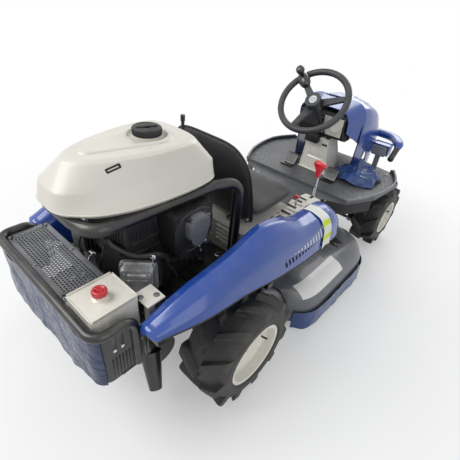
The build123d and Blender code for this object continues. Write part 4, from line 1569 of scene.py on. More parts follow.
@dataclass
class SideCover:
    """A moulded cover over a rear tyre: sections along X joined by a smooth curve, with leaning vents.

    Attributes:
        hand: Left or right.
        side: 1 on the left, -1 on the right.
        rows: X of each section, then pairs of distance from the middle and height.
        vents: How many vents are cut.
        vent_lean: Their lean in degrees.
        thick: The sheet's thickness.
        tip: How far the rounded tail stands out behind the last section.
    """

    hand: str
    side: int
    rows: tuple = ((-0.884, ((.284, .430), (.284, .474), (.300, .500), (.322, .508), (.344, .506),
                             (.362, .498), (.370, .484))),
                   (-0.790, ((.284, .3725), (.284, .504), (.302, .532), (.330, .545), (.364, .538),
                             (.390, .516), (.400, .490))),
                   (-0.560, ((.284, .3725), (.284, .536), (.302, .566), (.334, .582), (.372, .566),
                             (.400, .528), (.410, .458))),
                   (-0.430, ((.284, .3725), (.284, .566), (.302, .600), (.336, .612), (.378, .580),
                             (.406, .530), (.417, .434))),
                   (-0.330, ((.284, .3725), (.284, .552), (.302, .584), (.338, .592), (.382, .566),
                             (.409, .518), (.419, .418))),
                   (-0.230, ((.284, .3455), (.284, .520), (.302, .544), (.340, .552), (.384, .536),
                             (.411, .502), (.420, .404))),
                   (-0.090, ((.284, .3455), (.284, .506), (.302, .526), (.340, .530), (.384, .514),
                             (.409, .478), (.417, .394))),
                   (0.030, ((.284, .3455), (.284, .488), (.302, .504), (.340, .506), (.380, .488),
                            (.404, .454), (.412, .388))),
                   (0.088, ((.290, .362), (.290, .440), (.304, .452), (.338, .452), (.368, .438),
                            (.386, .416), (.392, .386))),)
    vents: int = 14
    vent_lean: float = -24.0
    thick: float = 0.0035
    tip: float = 0.020

    def outer(self) -> Array:
        """The outer surface: profiles with cut corners, carried along X by a cubic curve.

        Returns:
            A grid of points along X and over the cover, from the tail's tip forward.
        """
        profile = np.array([[(self.side * u, v) for u, v in row] for _, row in self.rows])
        grid = loft([x for x, _ in self.rows], profile, 2, 150)
        turn = np.linspace(0.49 * np.pi, 0.08 * np.pi, 9)[:, None, None]
        middle = grid[0].mean(axis=0)
        tip = middle + (grid[0] - middle) * np.cos(turn) - [self.tip, 0.0, 0.0] * np.sin(turn)
        grid = np.concatenate([tip, grid])
        return grid if self.side < 0 else grid[:, ::-1]

    def build(self) -> None:
        """Make the cover in place of its solid, cut its vents, back them with painted light, and edge it."""
        outer = self.outer()
        shell = Shape(f"moulded_cover_{self.hand}")
        wall_grid(shell, outer, self.thick)
        cover = shell.build("chassis", "body_blue", crease=42.0)
        cutter = Shape("vents")
        index = np.arange(self.vents)
        height = 0.032 + 0.0019 * index
        lean = math.radians(self.vent_lean)
        turn = np.array([[math.cos(lean), math.sin(lean), 0], [0, 0, 1],
                         [-math.sin(lean), math.cos(lean), 0]])
        for x, tall in zip(-0.382 + 0.020 * index + height * 0.2, height):
            cutter.blocks((0.0112, tall, 0.060), 0.0040, [(x, self.side * 0.410, 0.446 + tall / 2)], turn)
        carve(cover, cutter, 42.0)
        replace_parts(cover, f"cover_{self.hand}")
        # A pale sheet just inside the vent slots: painted light that stands in for the light seen through
        # them.
        use = (outer[:, 0, 0] > -0.400) & (outer[:, 0, 0] < -0.075)
        wall = outer[use][:, -22:-3] if self.side < 0 else outer[use][:, 3:22]
        light_sheet = Shape(f"vent_light_sheet_{self.hand}")
        light_sheet.grid(wall + normals(wall) * 0.0014)
        light_sheet.build("chassis", "body_blue", [VENT_PAINTED_LIGHT], outward=False)
        trim = Shape(f"cover_trim_{self.hand}")
        low, high = (0, -1) if self.side < 0 else (-1, 0)
        path = outer[9::3, high] + np.array([0.0, -self.side * 0.0018, 0.0])
        trim.rod(path, 0.0034, 10)
        inner = outer[17:-4:3, low]
        trim.rod(inner * [1, 1, 0] + [0, 0, 0.3752] + [0, -self.side * 0.0032, 0], 0.0028, 8)
        trim.build("chassis", "black_plastic")
        bolts = Shape(f"cover_bolts_{self.hand}")
        places = [(x, self.side * 0.2838, 0.395) for x in (-0.74, -0.52, -0.34, -0.15, 0.0)]
        bolts.bolts(0.0062, 0.005, places, (0, -self.side, 0))
        bolts.build("chassis", "bare_steel", [DULL_ZINC])


@dataclass
class Hood:
    """The front hood: arched sections on a smooth curve, with a raised oval on top and ridges beside it.

    Attributes:
        rows: X of each section, then pairs of distance from the middle and height, from foot to crown.
        thick: The sheet's thickness.
    """

    rows: tuple = (
        (0.600, ((.176, .3895), (.186, .655), (.156, .750), (.062, .788))),
        (0.720, ((.184, .3895), (.194, .648), (.164, .742), (.062, .778))),
        (0.860, ((.180, .3895), (.188, .596), (.158, .690), (.058, .728))),
        (0.962, ((.150, .440), (.156, .536), (.130, .606), (.048, .640))),
    )
    thick: float = 0.0035

    def outer(self) -> Array:
        """The outer surface: arches with cut corners along a cubic curve, lifted inside an oval on the crown.

        Returns:
            A grid of points along X and over the hood.
        """
        half = np.array([row for _, row in self.rows])
        arch = np.concatenate([half * [-1, 1], half[:, ::-1]], axis=1)
        grid = loft([x for x, _ in self.rows], arch, 3, 130)[:, ::-1]
        x, y, z = grid[..., 0], grid[..., 1], grid[..., 2]
        oval = np.hypot((x - 0.735) / 0.085, y / 0.050)
        raised = (1.0 - ease(oval, 0.90, 1.06)) * ease(z, 0.70, 0.73) * 0.0042
        ridge = np.exp(-(((np.abs(y) - 0.104) / 0.0045) ** 2)) * ease(z, 0.58, 0.64) * 0.0030
        below = (z - 0.560 + 0.35 * (x - 0.72)) / 0.006
        cheek = np.exp(-(below**2)) * ease(np.abs(y), 0.15, 0.17) * 0.0026
        return grid - normals(grid) * (raised + ridge + cheek)[..., None]

    def build(self) -> None:
        """Make the hood and its nose in place of the solids, cut its side notches and edge it."""
        outer = self.outer()
        shell = Shape("moulded_hood")
        wall_grid(shell, outer, self.thick)
        nose = outer[-1]
        middle = np.array([0.9655, 0.0, 0.560])
        spread = np.array([1.0, 0.985, 0.94, 0.75, 0.4, 0.0])[:, None, None]
        swell = np.array([0.0, 0.0012, 0.0018, 0.002, 0.0022, 0.0022])[:, None]
        front = middle + (nose[None] - middle) * spread
        front[..., 0] = 0.9625 + swell
        back = front - [0.0035, 0.0, 0.0]
        shell.grid(front).grid(back)
        shell.grid(np.stack([front[0], back[0]]))
        hood = shell.build("chassis", "body_blue", crease=40.0)
        notch = Shape("notches")
        low = [(0.700, 0.380), (0.790, 0.380), (0.790, 0.430), (0.772, 0.462), (0.748, 0.505), (0.737, 0.513),
               (0.728, 0.498), (0.712, 0.445)]
        ring = cut_corners(np.array(low), 2)
        for side in (1, -1):
            near = spots(ring[:, 0], side * 0.14, ring[:, 1])
            far = near + [0.0, side * 0.08, 0.0]
            tip = near.mean(axis=0)
            notch.closed(np.stack([np.broadcast_to(tip, near.shape), near, far,
                                   np.broadcast_to(far.mean(axis=0), near.shape)]))
        carve(hood, notch, 40.0)
        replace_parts(hood, "front_hood", "hood_nose")
        trim = Shape("hood_trim")
        trim.rod(outer[0, ::4], 0.0032, 10)
        trim.build("chassis", "black_plastic")


@dataclass
class Cushion:
    """A stuffed vinyl pad: a rounded outline filled out by a superellipse and dished where the rider sits.

    Attributes:
        name: The piece's name.
        node: The solid that it stands for.
        outline: Half outline in the pad's own plane, from the middle of one end to the middle of the other.
        foot: Where the outline's own origin is.
        across: The way the outline's second number runs.
        along: The way its first number runs.
        thick: Thickness in the middle.
        dish: How deep the top is dished.
        swell: How sharply the edge rounds; less is rounder.
        welt: Radius of the piping.
    """

    name: str
    node: str
    outline: tuple
    foot: tuple[float, float, float]
    along: tuple[float, float, float]
    thick: float
    across: tuple[float, float, float] = (0.0, 1.0, 0.0)
    dish: float = 0.006
    swell: float = 0.42
    welt: float = 0.0032

    def build(self) -> None:
        """Make the pad: shares of the outline are lifted to both sides by the thickness rule, and creased."""
        half = np.array(self.outline, float)
        whole = np.concatenate([half, (half * [1, -1])[-2:0:-1]])
        ring = cut_corners(whole, 4)
        middle = ring.mean(axis=0)
        share = np.sin(np.linspace(0.0, 0.5 * np.pi, 26))
        reach = middle + (ring[None] - middle) * share[:, None, None]
        lift = np.power(np.maximum(1.0 - share**2.6, 0.0), self.swell)[:, None] * self.thick / 2
        a, b = reach[..., 0], reach[..., 1]
        wide, long = np.abs(ring[:, 1]).max(), np.ptp(ring[:, 0])
        bowl = self.dish * np.exp(-((b / (0.55 * wide)) ** 2) - (((a - middle[0]) / (0.42 * long)) ** 2))
        crease = 0.0009 * np.sin(38 * b + 11 * a) * np.sin(23 * a - 7 * b) * share[:, None] ** 3
        along, across = unit(np.array(self.along)), unit(np.array(self.across))
        up = np.cross(along, across)
        flat = np.array(self.foot) + a[..., None] * along + b[..., None] * across
        top = flat + (lift - bowl + crease)[..., None] * up
        low = flat - (lift + crease * 0.5)[..., None] * up
        pad = Shape(self.name)
        pad.closed(top).closed(low)
        pad.looped(piping(flat[-1], up, self.welt, self.welt * 0.6))
        made = pad.build("chassis", "seat_vinyl", crease=60.0)
        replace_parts(made, self.node)


@dataclass
class Engine:
    """What shows of the engine: shroud ribs, the cleaner's shield, the canister, hoses, leads and bolts.

    Attributes:
        x: Middle of the engine along X.
        side_y: Where the shroud's right wall is.
        cleaner_y: Where the cleaner's outer face is.
        shield_x: Middle of the cleaner's shield and canister along X.
        reach: Distance of the rocker covers from the crank.
        cylinder_z: Height of the cylinders' middle.
        bed_z: Height of the bed's top.
    """

    x: float = -0.640
    side_y: float = -0.1203
    cleaner_y: float = -0.1983
    shield_x: float = -0.612
    reach: float = 0.2445
    cylinder_z: float = 0.500
    bed_z: float = 0.366

    def shroud(self) -> None:
        """Ribs, ledges and seams on the blower housing, as round blocks in rows."""
        shroud = Shape("shroud_ribs")
        for y, way in ((self.side_y - 0.0002, -1), (-self.side_y + 0.0002, 1)):
            shroud.blocks((0.004, 0.005, 0.060), 0.0015, spots(np.linspace(-0.790, -0.705, 8), y, 0.640))
            shroud.blocks((0.300, 0.012, 0.006), 0.0025, [(self.x, y, 0.598)])
            shroud.blocks((0.110, 0.020, 0.010), 0.004, [(-0.742, y, 0.560)],
                          facing([(0.0, way * 0.25, 1.0)])[0])
            shroud.blocks((0.006, 0.008, 0.180), 0.0025, [(-0.700, y, 0.590)])
        shroud.blocks((0.006, 0.004, 0.110), 0.0018, spots(-0.8004, np.linspace(-0.095, 0.095, 13), 0.610))
        shroud.blocks((0.010, 0.216, 0.008), 0.003, [(-0.801, 0, 0.545), (-0.801, 0, 0.672)])
        shroud.lathe([(0.0, 0.0), (0.074, 0.0), (0.074, 0.008), (0.070, 0.012), (0.030, 0.012),
                      (0.026, 0.016), (0.0, 0.016)], (self.x, 0.0, 0.6872), UP, 48)
        shroud.build("chassis", "black_plastic")

    def cleaner(self) -> None:
        """The cleaner's housing face, its canister, and its shield with a fold over a rounded lobe."""
        box = Shape("cleaner_housing")
        outline = np.array([(-0.690, 0.545), (-0.560, 0.545), (-0.535, 0.580), (-0.535, 0.685),
                            (-0.690, 0.685)])
        ring = cut_corners(outline, 3)
        steps = [(0.0, 1.0), (0.0025, 0.985), (0.0040, 0.955), (0.0042, 0.0)]
        middle = ring.mean(axis=0)
        rows = []
        for out, keep in steps:
            flat = middle + (ring - middle) * keep
            rows.append(spots(flat[:, 0], self.cleaner_y - out, flat[:, 1]))
        box.closed(np.stack([rows[0] * [1, 0, 1] + [0, self.cleaner_y + 0.003, 0]] + rows))
        can = [(0.0, 0.0), (0.034, 0.0), (0.037, 0.003), (0.037, 0.030), (0.040, 0.033), (0.040, 0.040),
               (0.037, 0.043), (0.037, 0.052), (0.0, 0.052)]
        box.lathe(can, (self.shield_x, -0.160, 0.492), UP, 72, 24, 0.0022)
        box.blocks((0.005, 0.004, 0.110), 0.0015,
                   spots(np.linspace(-0.683, -0.659, 4), self.cleaner_y - 0.0018, 0.615))
        box.build("chassis", "black_plastic")
        shield = Shape("cleaner_shield")
        half = [(-0.040, 0.056), (-0.041, 0.010), (-0.037, -0.020), (-0.024, -0.048), (0.0, -0.060),
                (0.024, -0.048), (0.037, -0.020), (0.041, 0.010), (0.040, 0.056)]
        ring = cut_corners(np.array(half), 3)
        rows = []
        steps = ((0.0, 1.03), (0.018, 1.0), (0.024, 0.965), (0.0275, 0.90), (0.0290, 0.5), (0.0292, 0.0))
        for out, keep in steps:
            flat = ring * keep
            fold = 0.0045 * ease(flat[:, 1], 0.004, 0.010)
            rows.append(spots(self.shield_x + flat[:, 0], self.cleaner_y - out - fold * (keep < 1.01),
                              0.616 + flat[:, 1]))
        shield.closed(np.stack(rows))
        shield.blocks((0.070, 0.006, 0.0035), 0.0012, [(self.shield_x, self.cleaner_y - 0.0300, 0.6235)])
        shield.blocks((0.078, 0.005, 0.010), 0.002, [(self.shield_x, self.cleaner_y - 0.0275, 0.6660)])
        shield.build("chassis", "black_plastic", [SHIELD_GREY])

    def covers(self) -> None:
        """Cast detail on both rocker covers: a raised pad, ribs and a bolt in each corner."""
        cast, bolts = Shape("rocker_detail"), Shape("rocker_bolts")
        for side in (1, -1):
            out = np.array([-1.0, side, 0.0]) / math.sqrt(2.0)
            across = np.array([-side, -1.0, 0.0]) / math.sqrt(2.0)
            middle = np.array([self.x, 0.0, self.cylinder_z]) + out * self.reach
            turn = np.stack([across, np.array([0.0, 0.0, 1.0]), np.cross(across, [0.0, 0.0, 1.0])], axis=-1)
            cast.blocks((0.056, 0.016, 0.007), 0.003, [middle + [0, 0, 0.024]], turn)
            cast.blocks((0.066, 0.044, 0.004), 0.002, [middle + [0, 0, -0.012]], turn)
            cast.blocks((0.004, 0.070, 0.005), 0.0015, [middle + across * a for a in (-0.036, 0.036)], turn)
            corners = [middle - out * 0.026 + across * a + np.array([0, 0, b]) for a in (-0.047, 0.047)
                       for b in (-0.047, 0.047)]
            bolts.bolts(0.0052, 0.006, corners, out)
        cast.build("chassis", "cast_alloy")
        bolts.build("chassis", "bare_steel", [DULL_ZINC])

    def hoses(self) -> None:
        """Fixed hoses and leads along the engine, each a tube along a smooth path, with a bright clip."""
        hose = Shape("engine_hoses")
        run = [(-0.800, -0.020, 0.560), (-0.812, -0.080, 0.575), (-0.790, -0.150, 0.577),
               (-0.745, -0.180, 0.574), (-0.712, -0.176, 0.548), (-0.684, -0.158, 0.505),
               (-0.640, -0.146, 0.480), (-0.600, -0.134, 0.470)]
        hose.rod(line_through(run, 70), 0.0085, 14)
        leads = (
            [(-0.600, -0.132, 0.470), (-0.570, -0.150, 0.455), (-0.540, -0.156, 0.430),
             (-0.515, -0.150, 0.400)],
            [(-0.700, -0.128, 0.540), (-0.690, -0.150, 0.500), (-0.660, -0.160, 0.440),
             (-0.640, -0.150, 0.392)],
            [(-0.560, -0.128, 0.520), (-0.520, -0.140, 0.500), (-0.490, -0.130, 0.470),
             (-0.480, -0.100, 0.440)],
            [(-0.810, 0.040, 0.600), (-0.835, 0.070, 0.560), (-0.845, 0.100, 0.500), (-0.830, 0.120, 0.430)],
            [(-0.800, 0.020, 0.520), (-0.825, 0.010, 0.470), (-0.830, 0.030, 0.410), (-0.850, 0.050, 0.372)],
        )
        for lead in leads:
            hose.rod(line_through(lead, 40), 0.0032, 8)
        hose.build("chassis", "black_plastic", [HOSE_BLACK])
        clip = Shape("hose_clips")
        clip.blocks((0.020, 0.024, 0.015), 0.003, [(-0.752, -0.178, 0.574)], facing([(0.2, 0.1, 1.0)])[0])
        clip.blocks((0.012, 0.005, 0.030), 0.002, [(-0.757, -0.184, 0.556)])
        clip.blocks((0.026, 0.018, 0.020), 0.004, [(-0.548, -0.146, 0.512), (-0.512, -0.132, 0.540)],
                    facing([(0.3, -0.2, 1.0)])[0])
        for x, y, z in ((-0.535, -0.150, 0.540), (-0.520, -0.150, 0.490), (-0.830, 0.060, 0.480)):
            clip.lathe([(0, 0), (0.010, 0), (0.010, 0.012), (0.006, 0.014), (0.006, 0.030), (0, 0.030)],
                       (x, y, z), (0.2, -0.9, 0.3), 20)
        rods = ([(-0.560, -0.150, 0.520), (-0.500, -0.140, 0.556)],
                [(-0.545, -0.155, 0.480), (-0.480, -0.130, 0.520)],
                [(-0.572, -0.152, 0.500), (-0.540, -0.164, 0.540)],
                [(-0.850, 0.060, 0.440), (-0.800, 0.110, 0.460)])
        for rod in rods:
            clip.rod(line_through(rod, 6), 0.0024, 8)
        clip.build("chassis", "bare_steel", [BRIGHT_STEEL])

    def bed(self) -> None:
        """Bolts of the engine bed and the crankcase, and ribs on the crankcase."""
        bolts = Shape("bed_bolts")
        plan = ((-0.885, -0.110), (-0.885, 0.110), (-0.842, -0.150), (-0.842, 0.150), (-0.850, 0.100),
                (-0.850, 0.060), (-0.425, -0.140), (-0.425, 0.140))
        bolts.bolts(0.0085, 0.008, [(x, y, self.bed_z) for x, y in plan])
        for x in (-0.770, -0.510):
            for z in (0.385, 0.430, 0.475):
                for way in (1, -1):
                    bolts.bolts(0.0050, 0.005, [(x, way * 0.1255, z)], (0, way, 0))
        bolts.build("chassis", "bare_steel", [BRIGHT_STEEL])
        ribs = Shape("crankcase_ribs")
        for way in (1, -1):
            ribs.blocks((0.005, 0.010, 0.090), 0.002,
                        spots(np.linspace(-0.750, -0.530, 9), way * 0.1262, 0.425))
        ribs.build("chassis", "engine_dark")

    def build(self) -> None:
        """Make all of the engine's detail."""
        self.shroud()
        self.cleaner()
        self.covers()
        self.hoses()
        self.bed()


@dataclass
class RearGuard:
    """The guard's screen plate with offset rows of holes, the ribs beside it, and its bolts.

    Attributes:
        low: The plate's corner towards the rear right.
        high: The plate's corner towards the front left.
        base: Height of the plate's underside.
        thick: The plate's thickness.
        pitch: Distance of the holes along Y and between rows along X.
        hole: Radius of a hole.
    """

    low: tuple[float, float] = (-1.0030, -0.1130)
    high: tuple[float, float] = (-0.8690, 0.2690)
    base: float = 0.5090
    thick: float = 0.0030
    pitch: tuple[float, float] = (0.0104, 0.0094)
    hole: float = 0.0036

    def cells(self, shape: Shape) -> tuple[Array, Array]:
        """Add the holed field: a cell with an eight-sided hole, repeated in rows that shift by half a cell.

        Args:
            shape: The piece that gets it.

        Returns:
            The field's lowest and highest corners.
        """
        py, px = self.pitch
        columns = int((self.high[1] - self.low[1] - 0.030) / py)
        lines = int((self.high[0] - self.low[0] - 0.030) / px)
        turn = np.arctan2([-1, -1, -1, 0, 1, 1, 1, 0], [-1, 0, 1, 1, 1, 0, -1, -1]).astype(float)
        edge = np.array([(-1, -1), (0, -1), (1, -1), (1, 0), (1, 1), (0, 1), (-1, 1),
                         (-1, 0)]) / 2.0 * [px, py]
        ring = self.hole * np.stack([np.cos(turn), np.sin(turn)], axis=-1)
        loops = [spots(line[:, 0], line[:, 1], height)
                 for line, height in ((edge, self.thick), (ring, self.thick), (ring, 0.0), (edge, 0.0))]
        cell = Shape("cell").closed(np.stack(loops))
        middle = (np.array(self.low) + np.array(self.high)) / 2
        i, j = np.meshgrid(np.arange(lines), np.arange(columns), indexing="ij")
        x = middle[0] + (i - (lines - 1) / 2) * px
        y = middle[1] + (j - (columns - 1) / 2 + 0.25 - 0.5 * (i % 2)) * py
        shape.stamp(cell, spots(x.ravel(), y.ravel(), self.base), np.eye(3))
        reach = np.array([lines * px / 2, (columns / 2 - 0.25) * py])
        return middle - reach, middle + reach

    def build(self) -> None:
        """Make the plate in place of its solid, with a smooth margin, then the ribs and bolts."""
        plate = Shape("screen_plate")
        inner_low, inner_high = self.cells(plate)
        (x0, y0), (x1, y1) = self.low, self.high
        level = self.base + self.thick / 2
        strips = [((x0 + inner_low[0]) / 2, (y0 + y1) / 2, inner_low[0] - x0 + 0.0004, y1 - y0 - 0.016),
                  ((x1 + inner_high[0]) / 2, (y0 + y1) / 2, x1 - inner_high[0] + 0.0004, y1 - y0 - 0.016),
                  ((x0 + x1) / 2, (y0 + inner_low[1]) / 2 + 0.002, x1 - x0 - 0.016, inner_low[1] - y0
                   + 0.0052), ((x0 + x1) / 2, (y1 + inner_high[1]) / 2 - 0.002, x1 - x0 - 0.016,
                               y1 - inner_high[1] + 0.0052)]
        for x, y, dx, dy in strips:
            plate.blocks((dx, dy, self.thick), 0.0007, [(x, y, level)])
        corners = [(x, y, self.base) for x in (x0 + 0.010, x1 - 0.010) for y in (y0 + 0.010, y1 - 0.010)]
        disc = Shape("disc").lathe([(0, 0), (0.010, 0), (0.010, 0.003), (0, 0.003)], (0, 0, 0), UP, 24)
        plate.stamp(disc, corners, np.eye(3))
        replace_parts(plate.build("chassis", "deck_grey", crease=30.0), "rear_screen")
        bolts = Shape("screen_bolts")
        bolts.bolts(0.0045, 0.0035, [(x, y, self.base + self.thick) for x in (x0 + 0.010, x1 - 0.010)
                                     for y in (y0 + 0.012, (y0 + y1) / 2, y1 - 0.012)])
        bolts.build("chassis", "bare_steel", [DULL_ZINC])
        ribs = Shape("guard_ribs")
        for side in (1, -1):
            ribs.blocks((0.0042, 0.0050, 0.078), 0.0018,
                        spots(np.linspace(-0.978, -0.868, 12), side * 0.2862, 0.372))
            low = line_through([(-0.905, side * 0.2852, 0.3245), (-0.960, side * 0.2852, 0.3245)], 12)
            ribs.rod(low, 0.0032, 8)
        ribs.blocks((0.0042, 0.0050, 0.160), 0.0018, spots(-1.0192, np.linspace(-0.240, 0.240, 25), 0.415))
        ribs.build("chassis", "frame_black")


@dataclass
class OilBox:
    """Folded edges on the cream box, bolts on its bracket, and the fluted red cap.

    Attributes:
        middle: Middle of the box.
        half: Half its lengths.
        neck: X and Y of the filler neck.
        cap_foot: Height of the cap's foot.
    """

    middle: tuple[float, float, float] = (-0.931, -0.186, 0.465)
    half: tuple[float, float, float] = (0.0695, 0.063, 0.0747)
    neck: tuple[float, float] = (-0.935, -0.186)
    cap_foot: float = 0.5525

    def build(self) -> None:
        """Make the raised edges along the lid's four sides, the neck's collar and the cap."""
        edge = Shape("oil_box_edges")
        x, y, z = self.middle
        a, b, c = self.half
        top = z + c
        for way in (1, -1):
            edge.blocks((2 * a - 0.010, 0.0026, 0.0090), 0.0011,
                        [(x, y + way * (b - 0.0013), top + 0.0015)])
            edge.blocks((0.0026, 2 * b - 0.010, 0.0070), 0.0011,
                        [(x + way * (a - 0.0013), y, top + 0.0010)])
        edge.lathe([(0.0, -0.001), (0.0240, -0.001), (0.0225, 0.0025), (0.0175, 0.0045), (0.0165, 0.0120),
                    (0.0, 0.0120)], (*self.neck, top))
        edge.build("chassis", "cream_paint")
        cap = Shape("oil_cap_fluted")
        side = [(0.0, 0.0), (0.0200, 0.0), (0.0208, 0.0010), (0.0208, 0.0130), (0.0195, 0.0150),
                (0.0, 0.0150)]
        cap.lathe(side, (*self.neck, self.cap_foot), UP, 160, 20, 0.0018)
        cap.lathe([(0.0, 0.010), (0.0170, 0.0150), (0.0150, 0.0160), (0.0135, 0.0150), (0.0, 0.0152)],
                  (*self.neck, self.cap_foot), UP, 48)
        cap.blocks((0.026, 0.006, 0.004), 0.0015, [(*self.neck, 0.5690)],
                   facing([(0, 0, 1)], (1.0, 0.6, 0.0))[0])
        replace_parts(cap.build("chassis", "red_plastic"), "oil_cap")
        bolts = Shape("bracket_bolts")
        bolts.bolts(0.0062, 0.0035, [(-0.850, -0.240, 0.5175), (-0.812, -0.262, 0.5175)])
        bolts.build("chassis", "bare_steel", [DULL_ZINC])


@dataclass
class Controls:
    """The wheel's cap and knob, the gauge, key, switch box and levers in front of the rider.

    Attributes:
        hub: Middle of the steering wheel.
        ring: Radius of its rim's middle line.
        knob_turn: Where on the rim the knob stands, in degrees.
        gauge: Middle of the gauge's face.
        gauge_radius: Its radius.
        lever_x: X of the lift lever's grip.
        lever_y: Y of the levers.
    """

    hub: tuple[float, float, float] = (0.350, 0.0, 0.802)
    ring: float = 0.162
    knob_turn: float = 40.0
    gauge: tuple[float, float, float] = (0.4765, -0.088, 0.676)
    gauge_radius: float = 0.0252
    lever_x: float = 0.056
    lever_y: float = -0.250

    def wheel(self) -> None:
        """The pale cap and collar on the hub, the rim with finger waves behind it, and the teardrop knob."""
        axis = np.array([-1.0, 0.0, 1.0]) / math.sqrt(2.0)
        uphill = np.array([1.0, 0.0, 1.0]) / math.sqrt(2.0)
        left = np.array([0.0, 1.0, 0.0])
        hub = np.array(self.hub)
        cap = Shape("wheel_cap")
        cap.lathe([(0.0, 0.0), (0.0215, 0.0), (0.0215, 0.0075), (0.0205, 0.0100), (0.0180, 0.0108),
                   (0.0165, 0.0100), (0.0060, 0.0104), (0.0, 0.0106)], hub + axis * 0.0038, axis, 56)
        cap.build("steering_wheel", "bare_steel", [CAP_SILVER])
        collar = Shape("wheel_collar")
        collar.lathe([(0.0222, 0.0), (0.0400, 0.0), (0.0405, 0.0050), (0.0370, 0.0110), (0.0270, 0.0125),
                      (0.0225, 0.0105), (0.0222, 0.0)], hub + axis * 0.0030, axis, 64)
        collar.looped(hoop(hub, (left, uphill), self.ring, (0.0156, 0.0150), 128, 20))
        collar.build("steering_wheel", "black_plastic", [WHEEL_GREY])
        grip = Shape("rim_waves")
        turn = np.radians(np.arange(0.0, 360.0, 7.5))
        out = uphill * np.sin(turn)[:, None] + left * np.cos(turn)[:, None]
        places = hub + out * self.ring - axis * 0.0115
        along = np.cross(axis, out)
        frames = np.stack([along, np.cross(-axis, along), np.broadcast_to(-axis, along.shape)], axis=-1)
        grip.blocks((0.0135, 0.0170, 0.0090), 0.0042, places, frames)
        grip.build("steering_wheel", "black_plastic")
        around = math.radians(self.knob_turn)
        knob_out = uphill * math.sin(around) + left * math.cos(around)
        foot = hub + knob_out * self.ring + axis * 0.0128
        rows = [(0.0, 0.0), (0.0140, 0.0), (0.0142, 0.0045), (0.0098, 0.0078), (0.0088, 0.0115),
                (0.0115, 0.0180), (0.0170, 0.0270), (0.0212, 0.0370), (0.0216, 0.0440), (0.0185, 0.0525),
                (0.0110, 0.0582), (0.0, 0.0598)]
        knob = Shape("teardrop_knob")
        knob.lathe(softened(rows), foot, axis, 40)
        clamp = [(0.0, -0.017), (0.015, -0.016), (0.0260, -0.005), (0.0300, 0.012), (0.0295, 0.036),
                 (0.0235, 0.056), (0.0130, 0.068), (0.0, 0.070)]
        knob.lathe(softened(clamp), hub + knob_out * (self.ring + 0.004), -knob_out, 36)
        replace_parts(knob.build("steering_wheel", "black_plastic", [KNOB_GLOSS], 60.0), "steering_knob")

    def cowl(self) -> None:
        """The blue cowl over the dash: arches that widen and rise forward to the hood's rear edge."""
        share = np.linspace(0.0, 1.0, 24)[:, None]
        turn = np.linspace(0.0, np.pi, 41)[None]
        half, top = 0.1400 + 0.0430 * share, 0.7560 + 0.0300 * share
        foot = 0.6480 - 0.0750 * share
        wide = np.sign(np.cos(turn)) * np.abs(np.cos(turn)) ** 0.42
        tall = np.abs(np.sin(turn)) ** 0.42
        x = 0.4860 + 0.1320 * share + 0.0200 * (1.0 - tall) * (1.0 - share)
        outer = spots(x, half * wide, foot + (top - foot) * tall)[:, ::-1]
        cowl = Shape("dash_cowl")
        wall_grid(cowl, outer, 0.0040)
        cowl.build("chassis", "body_blue", crease=50.0)

    def dash(self) -> None:
        """The gauge in its bezel, the key, a slot in painted shade, the switch box and the panel's edge."""
        x, y, z = self.gauge
        back = np.array([-1.0, 0.0, 0.0])
        face = Shape("gauge_face")
        face.lathe([(0.0, -0.0010), (self.gauge_radius, -0.0010), (self.gauge_radius, 0.0006),
                    (0.0, 0.0008)], (x, y, z), back, 56)
        needle = facing([back], (0.0, 0.35, 1.0))[0]
        face.blocks((0.0012, 0.0190, 0.0010), 0.0004, [(x - 0.0012, y + 0.002, z + 0.006)], needle, 1)
        print_finish = GaugeFinish("gauge_print", self.gauge, self.gauge_radius)
        face.build("chassis", "dial_face", [print_finish, DARK_HUB])
        bezel = Shape("gauge_bezel")
        bezel.lathe([(0.0258, -0.004), (0.0330, -0.004), (0.0330, 0.0030), (0.0315, 0.0052),
                     (0.0285, 0.0055), (0.0262, 0.0035), (0.0258, -0.004)], (x, y, z), back, 64)
        bezel.blocks((0.0035, 0.108, 0.094), 0.0016, [(0.4835, -0.070, 0.668)])
        bezel.build("chassis", "cream_plastic")
        black = Shape("key_and_switches")
        black.lathe([(0.0, 0.0), (0.0150, 0.0), (0.0150, 0.004), (0.0120, 0.007), (0.0110, 0.014),
                     (0.0, 0.015)], (0.496, -0.058, 0.612), (-0.93, 0.0, -0.36), 32)
        black.blocks((0.0065, 0.0240, 0.0150), 0.0025, [(0.480, -0.058, 0.606)],
                     facing([(-0.93, 0.0, -0.36)], (0.3, 0.6, 0.6))[0])
        # A dark block in place of a slot: painted shade in the opening.
        black.blocks((0.0060, 0.0320, 0.0100), 0.0025, [(0.4955, -0.046, 0.556)])
        black.blocks((0.0420, 0.0780, 0.0440), 0.0050, [(0.4870, 0.028, 0.580)])
        black.blocks((0.0060, 0.0120, 0.0100), 0.0020,
                     [(0.4655, 0.028 + dy, 0.590) for dy in (-0.022, 0.0, 0.022)])
        black.lathe([(0, 0), (0.0065, 0), (0.0065, 0.010), (0, 0.012)], (0.4835, -0.030, 0.628), back, 20)
        black.build("chassis", "black_plastic")
        cream = Shape("column_edges")
        for side in (1, -1):
            path = [(0.5045, side * 0.0845, 0.3925), (0.5000, side * 0.0720, 0.480),
                    (0.4958, side * 0.0600, 0.588)]
            cream.rod(path, 0.0030, 8)
            cream.blocks((0.170, 0.012, 0.0040), 0.0018, [(0.590, side * 0.089, 0.3915)])
        cream.blocks((0.012, 0.190, 0.0040), 0.0018, [(0.501, 0.0, 0.3915)])
        cream.build("chassis", "cream_paint")

